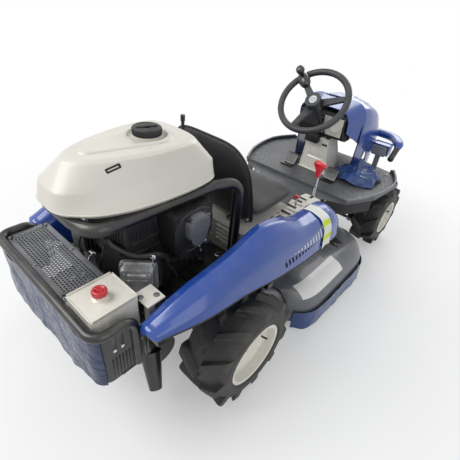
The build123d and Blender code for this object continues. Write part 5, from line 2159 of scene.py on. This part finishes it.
    def levers(self) -> None:
        """The lift lever's red grip and bare rod, the short red lever, the console's slots as painted shade.
        """
        rods = Shape("lever_rods")
        lift = [(self.lever_x + 0.008, self.lever_y, 0.456), (self.lever_x + 0.0005, self.lever_y, 0.614)]
        short = [(-0.078, self.lever_y + 0.004, 0.470), (-0.082, self.lever_y + 0.002, 0.520),
                 (-0.092, self.lever_y, 0.546)]
        rods.rod(line_through(lift, 8), 0.0066, 14)
        rods.rod(line_through(short, 12), 0.0042)
        rods.build("chassis", "bare_steel", [BRIGHT_STEEL])
        grip = Shape("lever_grips")
        rows = [(0.0, 0.0), (0.0110, 0.0), (0.0118, 0.008), (0.0130, 0.022), (0.0165, 0.036), (0.0225, 0.048),
                (0.0245, 0.058), (0.0205, 0.067), (0.0, 0.071)]
        x, y, z = np.moveaxis(turned(softened(rows), (self.lever_x, self.lever_y, 0.592), UP, 40), -1, 0)
        share = ease(z, 0.628, 0.645)
        grip.closed(spots(self.lever_x + (x - self.lever_x) * (1.0 - 0.36 * share),
                          self.lever_y + (y - self.lever_y) * (1.0 + 0.28 * share), z))
        grip.blocks((0.013, 0.020, 0.016), 0.0055, [(-0.0935, self.lever_y, 0.551)])
        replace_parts(grip.build("chassis", "red_plastic"), "lift_lever")
        # Dark blocks in place of the console's lever slots: painted shade in the openings.
        slots = Shape("console_slot_shade")
        slots.blocks((0.060, 0.012, 0.0030), 0.0014, [(0.058, self.lever_y, 0.4952)],
                     facing([(-0.12, 0, 1.0)], (0, 1, 0))[0])
        for x, z in ((-0.130, 0.4850), (-0.090, 0.4985), (-0.050, 0.5105), (-0.010, 0.5045)):
            slots.blocks((0.012, 0.044, 0.0030), 0.0014, [(x, -0.236, z)],
                         facing([(-0.2, 0, 1.0)], (0, 1, 0))[0])
        slots.build("chassis", "black_plastic")

    def build(self) -> None:
        """Make everything at the rider's hands."""
        self.wheel()
        self.cowl()
        self.dash()
        self.levers()


@dataclass
class FloorDetail:
    """Floor pan detail: tread bumps, rolled edges, a sheet of painted shade below them, screws and pedal
    pads.

    Attributes:
        level: Height of the floor.
        edge: X and half width of the floor's outline.
        apron: Lowest and highest height of the wall under its edge.
        pedal_y: Distance of the pedals from the middle.
        pitch: Distance between the bumps.
    """

    level: float = 0.389
    edge: tuple = ((-0.048, 0.212), (0.250, 0.212), (0.302, 0.322), (0.461, 0.402), (0.706, 0.430),
                   (0.862, 0.350), (0.885, 0.190))
    apron: tuple[float, float] = (0.322, 0.3865)
    pedal_y: float = 0.132
    pitch: float = 0.028

    def build(self) -> None:
        """Make the bumps as one dome repeated inside the outline, then edges, painted-shade sheet and pads.
        """
        rim = np.array(self.edge)
        i, j = np.meshgrid(np.arange(31), np.arange(-15, 16), indexing="ij")
        x = self.pitch * (i.ravel() - 1.0)
        y = self.pitch * (j.ravel() + 0.5 * (i.ravel() % 2))
        inside = np.abs(y) < np.interp(x, rim[:, 0], rim[:, 1]) - 0.022
        column = (np.abs(y) < 0.105) & (x > 0.490) & (x < 0.690)
        under = (np.abs(y) < 0.205) & (x > 0.585)
        pedals = (np.abs(np.abs(y) - self.pedal_y) < 0.042) & (x > 0.422) & (x < 0.480)
        keep = inside & ~column & ~under & ~pedals & (x < 0.84)
        bumps = Shape("floor_bumps")
        bumps.stamp(dome_pattern(0.0062, 0.0019, 8), spots(x[keep], y[keep], self.level), np.eye(3))
        bumps.build("chassis", "black_plastic", [FLOOR_GREY], 60.0)
        trim = Shape("floor_edges")
        # A dark double sheet under the floor's edge: painted shade where the floor shadows the space below.
        apron = Shape("floor_painted_shade")
        for side in (1, -1):
            top = np.array([(a, side * (b - 0.0025), self.level + 0.0182) for a, b in rim[2:6]])
            trim.rod(cut_corners(top, 3, closed=False), 0.0062)
            wall = np.array([(self.edge[0][0], 0.206), (0.248, 0.206), (0.299, 0.318), (0.452, 0.396)])
            wall = cut_corners(wall, 2, closed=False) * [1, side]
            heights = np.array(self.apron)[:, None]
            apron.grid(spots(wall[:, 0], wall[:, 1], heights))
            apron.grid(spots(wall[:, 0], wall[:, 1] * 0.985, heights))
            trim.rod([(x, side * 0.210, self.level - 0.001) for x in (-0.044, 0.100, 0.246)], 0.0035, 8)
        trim.blocks((0.006, 0.410, 0.006), 0.0025, [(-0.046, 0.0, self.level)])
        # The rolled edges, the rods under them and the back block are lighter than the floor: a painted
        # highlight.
        trim.build("chassis", "black_plastic", [EDGE_HIGHLIGHT_GREY])
        apron.build("chassis", "black_plastic", outward=False)
        pads = Shape("pedal_pads")
        for side in (1, -1):
            y = side * self.pedal_y
            pads.blocks((0.066, 0.060, 0.006), 0.0025, [(0.484, y, 0.4225)],
                        facing([(-0.82, 0.0, 0.57)], (0.0, 1.0, 0.0))[0])
            ribs = np.linspace(-0.024, 0.024, 7)
            pads.blocks((0.0030, 0.060, 0.0030), 0.0012, spots(0.4815 + ribs * 0.57, y, 0.4250 + ribs * 0.82))
        pads.build("chassis", "black_plastic")
        screws = Shape("floor_screws")
        plan = ((0.010, 0.185), (0.230, 0.185), (0.420, 0.340), (0.800, 0.330))
        screws.bolts(0.0065, 0.0045, [(x, side * y, self.level) for side in (1, -1) for x, y in plan])
        screws.build("chassis", "bare_steel", [DULL_ZINC])


@dataclass
class Deck:
    """Rolled foot, pressed rings and ribs, side skirt, plate, bolts and side bracket of the deck.

    Attributes:
        x: Middle of the deck.
        radius: Over the skirt.
        foot: Height of the skirt's foot.
        top: Height of the top plate's upper face.
        flap_ends: Rear and front X of the side skirt.
        sheet: Thickness of the skirt.
        rings: Radii of the pressed rings.
        bolt_circle: Radius of the circle that the top bolts stand on.
        bracket_x: X of the side bracket.
    """

    x: float = 0.080
    radius: float = 0.478
    foot: float = 0.042
    top: float = 0.200
    flap_ends: tuple[float, float] = (-0.240, 0.400)
    sheet: float = 0.0032
    rings: tuple[float, float] = (0.318, 0.150)
    bolt_circle: float = 0.332
    bracket_x: float = 0.222

    def ring(self, radius: float, z: float, thick: float) -> Array:
        """A round bar bent to a circle about the deck's middle.

        Args:
            radius: The circle's radius.
            z: Its height.
            thick: The bar's radius.

        Returns:
            A grid that is closed both ways.
        """
        return hoop((self.x, 0.0, z), ((1, 0, 0), (0, 1, 0)), radius, (thick, thick))

    def flap(self) -> None:
        """The side skirt: a section over the shoulder carried along X, drawn in at its ends, with a plate."""
        section = np.array([(0.290, 0.2100), (0.345, 0.2110), (0.398, 0.2080), (0.440, 0.1960),
                            (0.470, 0.1680), (0.4855, 0.1260), (0.4895, 0.0840), (0.4905, 0.0500)])
        section = cut_corners(section, 2, closed=False)
        x = np.linspace(self.flap_ends[0], self.flap_ends[1], 70)
        share = np.abs(np.linspace(-1.0, 1.0, 70))
        pull = 0.085 * share**7
        sag = 0.020 * share**9
        y = -(section[None, :, 0] - pull[:, None] * ease(section[:, 0], 0.30, 0.47)[None])
        z = section[None, :, 1] - sag[:, None] * ease(section[:, 1], 0.10, 0.20)[None]
        outer = spots(x[:, None], y, z)
        skirt = Shape("side_skirt")
        wall_grid(skirt, outer, self.sheet)
        edge = outer[:, -1] + [0.0, 0.0, 0.001]
        skirt.rod(edge, 0.0040, 10)
        skirt.build("deck", "deck_grey", crease=50.0)
        plate = Shape("blank_plate")
        lifted = outer - normals(outer) * 0.0012
        wall_grid(plate, lifted[5:39, 6:15], 0.0008)
        plate.build("deck", "deck_grey", [PLATE_WHITE], 50.0)

    def build(self) -> None:
        """Make the deck's own detail, which lifts with it."""
        self.flap()
        beads = Shape("deck_beads")
        beads.looped(self.ring(self.radius - 0.002, self.foot + 0.003, 0.0036))
        for radius in self.rings:
            beads.looped(self.ring(radius, self.top + 0.0008, 0.0040))
        for turn in np.radians(np.arange(0.0, 360.0, 45.0)):
            line = np.array([(self.x + r * math.cos(turn), r * math.sin(turn), self.top + 0.0006)
                             for r in (0.160, 0.235, 0.308)])
            beads.rod(line, 0.0045, 8)
        beads.build("deck", "deck_grey")
        bolts = Shape("deck_bolts")
        turn = np.radians(np.arange(15.0, 375.0, 45.0))
        out = self.bolt_circle
        bolts.bolts(0.0070, 0.006, spots(self.x + out * np.cos(turn), out * np.sin(turn), self.top))
        for px in (-0.180, 0.300):
            for side in (1, -1):
                bolts.bolts(0.0070, 0.005, [(px, side * 0.173, 0.211)], (0, -side, 0))
        bolts.build("deck", "bare_steel", [DULL_ZINC])
        side = Shape("deck_bracket")
        side.blocks((0.052, 0.060, 0.0050), 0.0020, [(self.bracket_x, -0.356, 0.2140)],
                    facing([(0.08, -0.18, 0.98)], (0, 1, 0))[0])
        side.blocks((0.040, 0.0050, 0.036), 0.0020, [(self.bracket_x, -0.342, 0.2300)])
        side.rod([(self.bracket_x, y, 0.236) for y in (-0.338, -0.350, -0.364)], 0.0060)
        side.build("deck", "frame_black")


@dataclass
class FrontEnd:
    """The lamps' lenses and bezels, the bumper's cover and end caps and the slats of the hood's nose.

    Attributes:
        lamp_y: Distance of each lamp from the middle.
        lamp_z: Height of the lamps' middle.
        lamp_x: X of the lamps' front face.
        bar_z: Height of the bumper cover's middle.
    """

    lamp_y: float = 0.232
    lamp_z: float = 0.500
    lamp_x: float = 0.898
    bar_z: float = 0.546

    def build(self) -> None:
        """Make a ribbed lens and a bezel for each lamp, caps on the bumper and slats on the nose."""
        lens, bezel = Shape("lamp_lenses"), Shape("lamp_bezels")
        for side in (1, -1):
            y = side * self.lamp_y
            bezel.blocks((0.008, 0.088, 0.064), 0.0035, [(self.lamp_x - 0.004, y, self.lamp_z)])
            lens.blocks((0.008, 0.072, 0.048), 0.0035, [(self.lamp_x - 0.0005, y, self.lamp_z)])
            lens.blocks((0.0024, 0.0040, 0.044), 0.0010,
                        spots(self.lamp_x + 0.0036, y + np.linspace(-0.028, 0.028, 9), self.lamp_z))
            bezel.blocks((0.050, 0.0040, 0.020), 0.0015, [(0.868, y - side * 0.0425, self.lamp_z)])
            for dz in (-0.018, 0.0, 0.018):
                bezel.blocks((0.0040, 0.060, 0.0050), 0.0018, [(0.8372, y, self.lamp_z + dz)])
        lens.build("chassis", "lamp_grey", [LENS])
        bezel.build("chassis", "lamp_grey")
        slats = Shape("nose_slats")
        slats.blocks((0.0050, 0.200, 0.0060), 0.0022, spots(0.9655, 0.0, np.linspace(0.470, 0.540, 6)))
        slats.build("chassis", "black_plastic")
        cover = Shape("bumper_cover")
        run = np.array([(0.872, -0.3165, 0.5245), (0.905, -0.3120, 0.546), (1.002, -0.2450, 0.548),
                        (1.006, -0.12, 0.548), (1.006, 0.0, 0.548)])
        run = cut_corners(np.concatenate([run, (run * [1, -1, 1])[-2::-1]]), 3, closed=False)
        reach = np.linspace(-1.0, 1.0, len(run))
        width = 0.0175 + 0.0135 * (1.0 - reach**10)
        bar = tube(run, width, 24)
        bar[..., 2] = self.bar_z + (bar[..., 2] - self.bar_z) * 0.76
        cover.closed(bar)
        for side in (1, -1):
            cover.blocks((0.066, 0.104, 0.007), 0.003, [(0.8720, side * self.lamp_y, 0.5345)])
            cover.blocks((0.060, 0.007, 0.062), 0.003, [(0.8700, side * (self.lamp_y + 0.0485), 0.505),
                                                        (0.8700, side * (self.lamp_y - 0.0485), 0.505)])
        cover.build("chassis", "body_blue")
        caps = Shape("bumper_caps")
        for side in (1, -1):
            caps.lathe([(0, 0), (0.0166, 0.0), (0.0172, 0.004), (0.0166, 0.016), (0.012, 0.021),
                        (0, 0.022)], (0.828, side * 0.316, 0.4868), (-0.762, 0.0, -0.648), 28)
        caps.build("chassis", "black_plastic")


@dataclass
class SeatFrame:
    """The seat's flange, holes and rail slots in painted shade, louvres on the base's back and hinge pins.

    Attributes:
        flange_y: Distance of the flange from the middle.
        flange_z: Height of the flange.
        back_x: X of the base's back, where the louvres are.
    """

    flange_y: float = 0.216
    flange_z: float = 0.4795
    back_x: float = -0.3815

    def build(self) -> None:
        """Make the flange, louvres and pins round the seat's base."""
        cream = Shape("seat_flange")
        for side in (1, -1):
            cream.blocks((0.300, 0.014, 0.0040), 0.0016, [(-0.220, side * self.flange_y, self.flange_z)])
        for z in (0.402, 0.422, 0.442, 0.462):
            for y in (-0.140, 0.0, 0.140):
                cream.blocks((0.010, 0.110, 0.0100), 0.0040, [(self.back_x, y, z)],
                             facing([(-0.5, 0.0, 0.86)], (0, 1, 0))[0])
        cream.build("chassis", "cream_paint")
        # Dark marks in place of the flange's holes and the rail slots: painted shade in the openings.
        dark = Shape("seat_slot_shade")
        for side in (1, -1):
            dark.blocks((0.018, 0.0060, 0.0020), 0.0009,
                        spots(np.linspace(-0.330, -0.110, 6), side * 0.2165, 0.4812))
            dark.blocks((0.120, 0.0030, 0.0060), 0.0012, [(-0.200, side * 0.1372, 0.4890)])
        dark.build("chassis", "black_plastic")
        pins = Shape("seat_pins")
        for side in (1, -1):
            pins.bolts(0.0075, 0.006, [(-0.352, side * 0.2052, 0.530), (-0.110, side * 0.2122, 0.430)],
                       (0, side, 0))
        pins.build("chassis", "bare_steel", [DULL_ZINC])


@dataclass
class Wrap:
    """A crumpled plastic film left from shipping: a sheet along a path with folds as ridged waves.

    Attributes:
        name: The piece's name.
        body: The body it rides on.
        path: The sheet's middle line in plan.
        low: Height of its lower edge.
        high: Height of its upper edge.
        finish: Its finish.
        rests: Nodes that it lies on; not used.
        slot: The record's material slot.
        depth: Depth of the folds.
        flare: How far the foot swings out.
        seed: Picks the folds.
        spread: Columns along it and rows up it.
    """

    name: str
    body: str
    path: Array
    low: float
    high: float
    finish: object
    held: str
    rests: tuple
    slot: str = "body_blue"
    depth: float = 0.004
    flare: float = 0.0
    seed: int = 3
    spread: tuple[int, int] = (160, 60)

    def build(self) -> None:
        """Make the sheet: ridges are one less the absolute sine of slanted waves, summed at four sizes."""
        columns, rows = self.spread
        line = line_through(self.path, columns)
        ahead = unit(np.gradient(line, axis=0))
        out = np.cross(ahead, [0.0, 0.0, 1.0])
        reach = np.concatenate([[0.0], np.cumsum(np.linalg.norm(np.diff(line, axis=0), axis=1))])
        up = np.linspace(0.0, 1.0, rows)
        rng = np.random.default_rng(self.seed)
        s, t = reach[:, None], up[None] * (self.high - self.low)
        folds = np.zeros((columns, rows))
        for size in (9.0, 17.0, 31.0, 55.0):
            for _ in range(3):
                angle, phase, skew = rng.uniform(-1.1, 1.1), rng.uniform(0, 6.3), rng.uniform(3, 9)
                wave = (s * math.cos(angle) + t * math.sin(angle)) * size * 2
                wave = wave + 0.7 * np.sin(skew * (s - t) * 3 + phase)
                folds += (1.0 - np.abs(np.sin(wave + phase))) * 9.0 / size
        folds = folds / folds.max()
        ragged = 0.005 * (np.sin(31 * s + 2) + 0.6 * np.sin(77 * s)) * (1 - up[None]) ** 4
        swing = self.flare * (1.0 - up[None]) ** 2
        away = 0.0030 + self.depth * folds + swing * (0.6 + 0.4 * np.sin(9 * s + self.seed))
        z = self.low + t + ragged
        film = Shape(self.name)
        film.grid(line[:, None] * [1, 1, 0] + out[:, None] * away[..., None] + z[..., None] * [0, 0, 1])
        made = film.build(self.body, self.slot, [self.finish], 70.0, outward=False)


@dataclass
class Tag:
    """A blank paper tag that hangs over the right cover's front, with two bright blank patches.

    Attributes:
        x0: X of its rear edge.
        x1: X of its front edge.
    """

    x0: float = -0.122
    x1: float = -0.052

    def build(self) -> None:
        """Make the tag: a strip of the cover's own surface, moved out a little and slightly curled."""
        outer = SideCover("right", -1).outer()
        use = (outer[:, 0, 0] > self.x0) & (outer[:, 0, 0] < self.x1)
        strip = outer[use][:, 14:]
        share = np.linspace(-1.0, 1.0, strip.shape[0])[:, None]
        run = np.linspace(0.0, 1.0, strip.shape[1])[None]
        lift = 0.0016 + 0.0035 * share**2 * (0.4 + run) + 0.0012 * np.sin(9 * run + 3 * share)
        tag = Shape("paper_tag")
        tag.grid(strip - normals(strip) * lift[..., None])
        made = tag.build("chassis", "cream_paint", [PAPER], 70.0, outward=False)


@dataclass
class Undercarriage:
    """Bolts of the frame and the front axle, the brake lines under the rails and the silencer's bands.

    Attributes:
        rail_y: Distance of the rails' outer faces from the middle.
        kingpin: X, distance from the middle and height of the bolt over each front wheel's pivot.
        silencer: X and height of the silencer's middle line.
        band_radius: Radius of its bands.
    """

    rail_y: float = 0.1702
    kingpin: tuple[float, float, float] = (0.720, 0.262, 0.2462)
    silencer: tuple[float, float] = (-0.765, 0.150)
    band_radius: float = 0.0625

    def build(self) -> None:
        """Make the bolts, the lines and the bands."""
        bolts = Shape("frame_bolts")
        for side in (1, -1):
            along = (-0.90, -0.80, -0.50, -0.45, 0.40, 0.62, 0.80)
            bolts.bolts(0.0080, 0.006, [(x, side * self.rail_y, 0.330) for x in along], (0, side, 0))
            bolts.bolts(0.0090, 0.007, [np.array(self.kingpin) * [1, side, 1]])
        bolts.bolts(0.0075, 0.006, [(-0.9565, y, 0.345) for y in (-0.2, -0.1, 0.1, 0.2)], (-1, 0, 0))
        bolts.build("chassis", "bare_steel", [DULL_ZINC])
        lines = Shape("brake_lines")
        for side in (1, -1):
            run = [(-0.600, side * 0.060, 0.300), (-0.520, side * 0.118, 0.292),
                   (-0.300, side * 0.120, 0.290), (0.100, side * 0.120, 0.292),
                   (0.450, side * 0.120, 0.292), (0.530, side * 0.060, 0.300)]
            lines.rod(line_through(run, 60), 0.0036, 8)
        lines.build("chassis", "black_plastic", [HOSE_BLACK])
        band = Shape("silencer_bands")
        for y in (-0.150, 0.080):
            x, z = self.silencer
            band.looped(hoop((x, y, z), ((1, 0, 0), (0, 0, 1)), self.band_radius, (0.0018, 0.008), 64))
        band.build("chassis", "bare_steel", [DULL_ZINC])


def shipping_films() -> None:
    """Wrap the guard's back and the deck's right skirt, and lay the crumpled bag by the column."""
    corner = np.radians(np.linspace(90.0, 180.0, 7))[:, None]
    left = [-0.9805, 0.2475, 0.0] + 0.038 * np.hstack([np.cos(corner), np.sin(corner), 0 * corner])
    right = (left * [1, -1, 1])[::-1]
    path = np.concatenate([[(-0.905, 0.2855, 0.0)], left, [(-1.0185, 0.0, 0.0)], right[:5]])
    Wrap("guard_film", "chassis", path, 0.326, 0.507, SLATE_FILM, "stretched", ("rear_guard",), "frame_black",
         depth=0.0075, flare=0.008, seed=5, spread=(240, 60)).build()
    share = np.linspace(-0.97, 0.97, 30)
    foot = np.stack([0.080 + 0.320 * share, -(0.4925 - 0.085 * np.abs(share) ** 7), 0 * share], axis=-1)
    Wrap("skirt_film", "deck", foot, 0.014, 0.112, BLUE_FILM, "hung", ("deck_shell",), "deck_grey",
         depth=0.0050, flare=0.006, seed=9, spread=(200, 34)).build()
    bag = Shape("shipping_bag")
    u, v = np.meshgrid(np.linspace(-1, 1, 90), np.linspace(-1, 1, 100), indexing="ij")
    reach = np.sqrt(u**2 + v**2)
    squeeze = 1.0 - 0.22 * np.minimum(u**2, 1) * v**2
    rng = np.random.default_rng(17)
    folds = np.zeros_like(u)
    for size in (3.0, 5.0, 8.0, 13.0):
        for _ in range(3):
            angle, phase = rng.uniform(0, 3.1), rng.uniform(0, 6.3)
            wave = size * (u * math.cos(angle) + v * math.sin(angle))
            wave = wave + 0.9 * np.sin(2.3 * u - 1.7 * v + phase)
            folds += (1.0 - np.abs(np.sin(wave + phase))) * 3.0 / size
    folds /= folds.max()
    body = np.maximum(1.0 - 0.80 * reach**2, 0.0)
    height = 0.004 + body * (0.052 + 0.062 * folds) + 0.010 * folds * (1 - body)
    x = 0.622 + 0.128 * u * squeeze + 0.010 * np.sin(5 * v + u)
    y = -0.226 + 0.118 * v * squeeze + 0.008 * np.sin(6 * u + 2)
    bag.grid(spots(x, y, FloorDetail.level + height))
    made = bag.build("chassis", "body_blue", [BLUE_FILM], 70.0, outward=False)


@dataclass
class Studio:
    """The pale floor, the soft lights and the camera at the photograph's place.

    Attributes:
        eye: The camera's place.
        heading: The view's turn from X towards Y, in radians.
        dip: How far the view looks down, in radians.
        roll: The camera's lean, in radians.
        focal: The focal length in millimetres on a 36 mm sensor.
        near_white: How white the floor already is under the mower, where its shadow lies.
    """

    eye: tuple[float, float, float] = (-1.21075, -0.81925, 1.24203)
    heading: float = 0.6760
    dip: float = 0.6270
    roll: float = -0.1000
    focal: float = 26.98
    near_white: float = 0.32

    def camera(self) -> None:
        """Set the camera: its axes are the view's right, up and back, turned by the roll."""
        ahead = np.array([math.cos(self.heading) * math.cos(self.dip),
                          math.sin(self.heading) * math.cos(self.dip), -math.sin(self.dip)])
        right = np.array([math.sin(self.heading), -math.cos(self.heading), 0.0])
        down = np.cross(ahead, right)
        turned_right = math.cos(self.roll) * right + math.sin(self.roll) * down
        turned_down = -math.sin(self.roll) * right + math.cos(self.roll) * down
        lens = bpy.data.cameras.new("camera")
        lens.lens = self.focal
        lens.sensor_width = 36.0
        lens.clip_start = 0.05
        camera = bpy.data.objects.new("camera", lens)
        bpy.context.scene.collection.objects.link(camera)
        axes = Matrix(np.column_stack([turned_right, -turned_down, -ahead]).tolist())
        camera.matrix_world = Matrix.Translation(self.eye) @ axes.to_4x4()
        bpy.context.scene.camera = camera

    def seen(self, tree: bpy.types.NodeTree) -> bpy.types.NodeSocket:
        """A value that is 1 where the eye, gloss or glass looks, and 0 for plain light.

        Args:
            tree: The node tree that gets it.

        Returns:
            The value's socket.
        """
        path = tree.nodes.new("ShaderNodeLightPath")
        total = path.outputs["Is Camera Ray"]
        for name in ("Is Glossy Ray", "Is Transmission Ray"):
            either = tree.nodes.new("ShaderNodeMath")
            either.operation = "MAXIMUM"
            tree.links.new(total, either.inputs[0])
            tree.links.new(path.outputs[name], either.inputs[1])
            total = either.outputs[0]
        return total

    def floor(self) -> None:
        """Lay a wide floor that turns to full white away from the mower and keeps its soft shadow."""
        mesh = bpy.data.meshes.new("floor")
        half = 40.0
        corners = [(-half, -half, 0), (half, -half, 0), (half, half, 0), (-half, half, 0)]
        mesh.from_pydata(corners, [], [(0, 1, 2, 3)])
        floor = bpy.data.objects.new("floor", mesh)
        bpy.context.scene.collection.objects.link(floor)
        kit = Recipe("studio_floor")
        tone = kit.blend(kit.span(kit.noise(1.5, 2.0), 0.3, 0.7), (0.80, 0.80, 0.80), (0.83, 0.83, 0.83))
        made = kit.finish(tone, kit.span(kit.noise(20.0), 0.0, 1.0, 0.6, 0.7),
                          kit.bump(kit.noise(60.0), 0.0002))
        reach = kit.add("ShaderNodeVectorMath", operation="LENGTH")
        kit.link(kit.place, reach.inputs[0])
        white = kit.span(reach.outputs["Value"], 0.9, 1.9, self.near_white, 1.0)
        glow = kit.add("ShaderNodeEmission")
        mix = kit.add("ShaderNodeMixShader")
        kit.link(kit.times(white, self.seen(kit.tree)), mix.inputs[0])
        kit.link(kit.shader.outputs[0], mix.inputs[1])
        kit.link(glow.outputs[0], mix.inputs[2])
        kit.link(mix.outputs[0], kit.tree.nodes["Material Output"].inputs["Surface"])
        mesh.materials.append(made)

    def world(self) -> None:
        """A plain pale surround: full white to the eye and to gloss, softer as light."""
        world = bpy.data.worlds.new("surround")
        bpy.context.scene.world = world
        world.use_nodes = True
        tree = world.node_tree
        tree.nodes.clear()
        out = tree.nodes.new("ShaderNodeOutputWorld")
        white = tree.nodes.new("ShaderNodeBackground")
        glow = tree.nodes.new("ShaderNodeBackground")
        mix = tree.nodes.new("ShaderNodeMixShader")
        white.inputs["Color"].default_value = (1.0, 1.0, 1.0, 1.0)
        white.inputs["Strength"].default_value = 1.0
        glow.inputs["Color"].default_value = (0.96, 0.98, 1.0, 1.0)
        glow.inputs["Strength"].default_value = 0.46
        tree.links.new(self.seen(tree), mix.inputs["Fac"])
        tree.links.new(glow.outputs[0], mix.inputs[1])
        tree.links.new(white.outputs[0], mix.inputs[2])
        tree.links.new(mix.outputs[0], out.inputs["Surface"])

    def lamp(self, name: str, place: Sequence[float], target: Sequence[float], size: float,
             power: float) -> None:
        """Hang one soft square lamp.

        Args:
            name: The lamp's name.
            place: Where it hangs.
            target: What it looks at.
            size: Its side.
            power: Its power in watts.
        """
        light = bpy.data.lights.new(name, "AREA")
        light.shape = "SQUARE"
        light.size = size
        light.energy = power
        lamp = bpy.data.objects.new(name, light)
        bpy.context.scene.collection.objects.link(lamp)
        look = Vector(target) - Vector(place)
        lamp.rotation_mode = "QUATERNION"
        lamp.location = place
        lamp.rotation_quaternion = look.to_track_quat("-Z", "Y")

    def build(self) -> None:
        """Set up the whole studio."""
        self.camera()
        self.floor()
        self.world()
        self.lamp("key", (-2.6, 1.6, 3.4), (0.0, 0.0, 0.4), 2.4, 110.0)
        self.lamp("fill", (-1.2, -3.4, 2.4), (0.0, 0.0, 0.4), 2.8, 32.0)
        self.lamp("front", (3.4, 0.6, 2.6), (0.0, 0.0, 0.4), 2.4, 60.0)


def dress_solids() -> None:
    """Give every carried-over solid the finish of its own slot, then the two that differ from theirs."""
    for part in frame["record"]["subparts"]:
        WARDROBE.dress(part["node"], Slot[part["material_slot"]].value)
    WARDROBE.dress("floor_pan", FLOOR_GREY)
    WARDROBE.dress("steering_wheel", WHEEL_GREY)


def main() -> None:
    """Build the studio and the mower's sub-assemblies in order."""
    logging.basicConfig(level=logging.INFO, format="%(name)s: %(message)s")
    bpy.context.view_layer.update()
    bpy.context.scene.view_settings.view_transform = "Standard"
    Studio().build()
    dress_solids()
    for side, hand in ((1, "left"), (-1, "right")):
        Tyre(f"rear_{hand}", (-0.570, side * 0.388, 0.206), side).build()
        Tyre(f"front_{hand}", (0.720, side * 0.366, 0.180), side, radius=0.180, width=0.142, rim_radius=0.088,
             lugs=10).build()
        LOG.info("tyres on the %s side", hand)
    FuelTank().build()
    LOG.info("fuel tank")
    SideCover("left", 1).build()
    SideCover("right", -1).build()
    Hood().build()
    LOG.info("covers and hood")
    Cushion("seat_pad", "seat", ((0, 0), (0, .12), (.004, .19), (.03, .203), (.12, .205), (.21, .203),
                                 (.255, .19), (.270, .13), (.272, 0)), (-0.298, 0.0, 0.5275),
            (1.0, 0.0, 0.02), 0.058).build()
    Cushion("seat_backrest", "seat_back", ((0, 0), (0, .12), (0, .200), (.03, .205), (.14, .205),
                                           (.235, .192), (.285, .150), (.302, .10), (.302, 0)),
            (-0.318, 0.0, 0.500), (-0.050, 0.0, 0.290), 0.052, across=(0.0, -1.0, 0.0)).build()
    LOG.info("cushions")
    Engine().build()
    RearGuard().build()
    OilBox().build()
    LOG.info("engine, guard and oil box")
    Controls().build()
    FloorDetail().build()
    Deck().build()
    FrontEnd().build()
    SeatFrame().build()
    Undercarriage().build()
    shipping_films()
    Tag().build()
    LOG.info("controls, floor, deck and front")


if __name__ == "__main__":
    main()
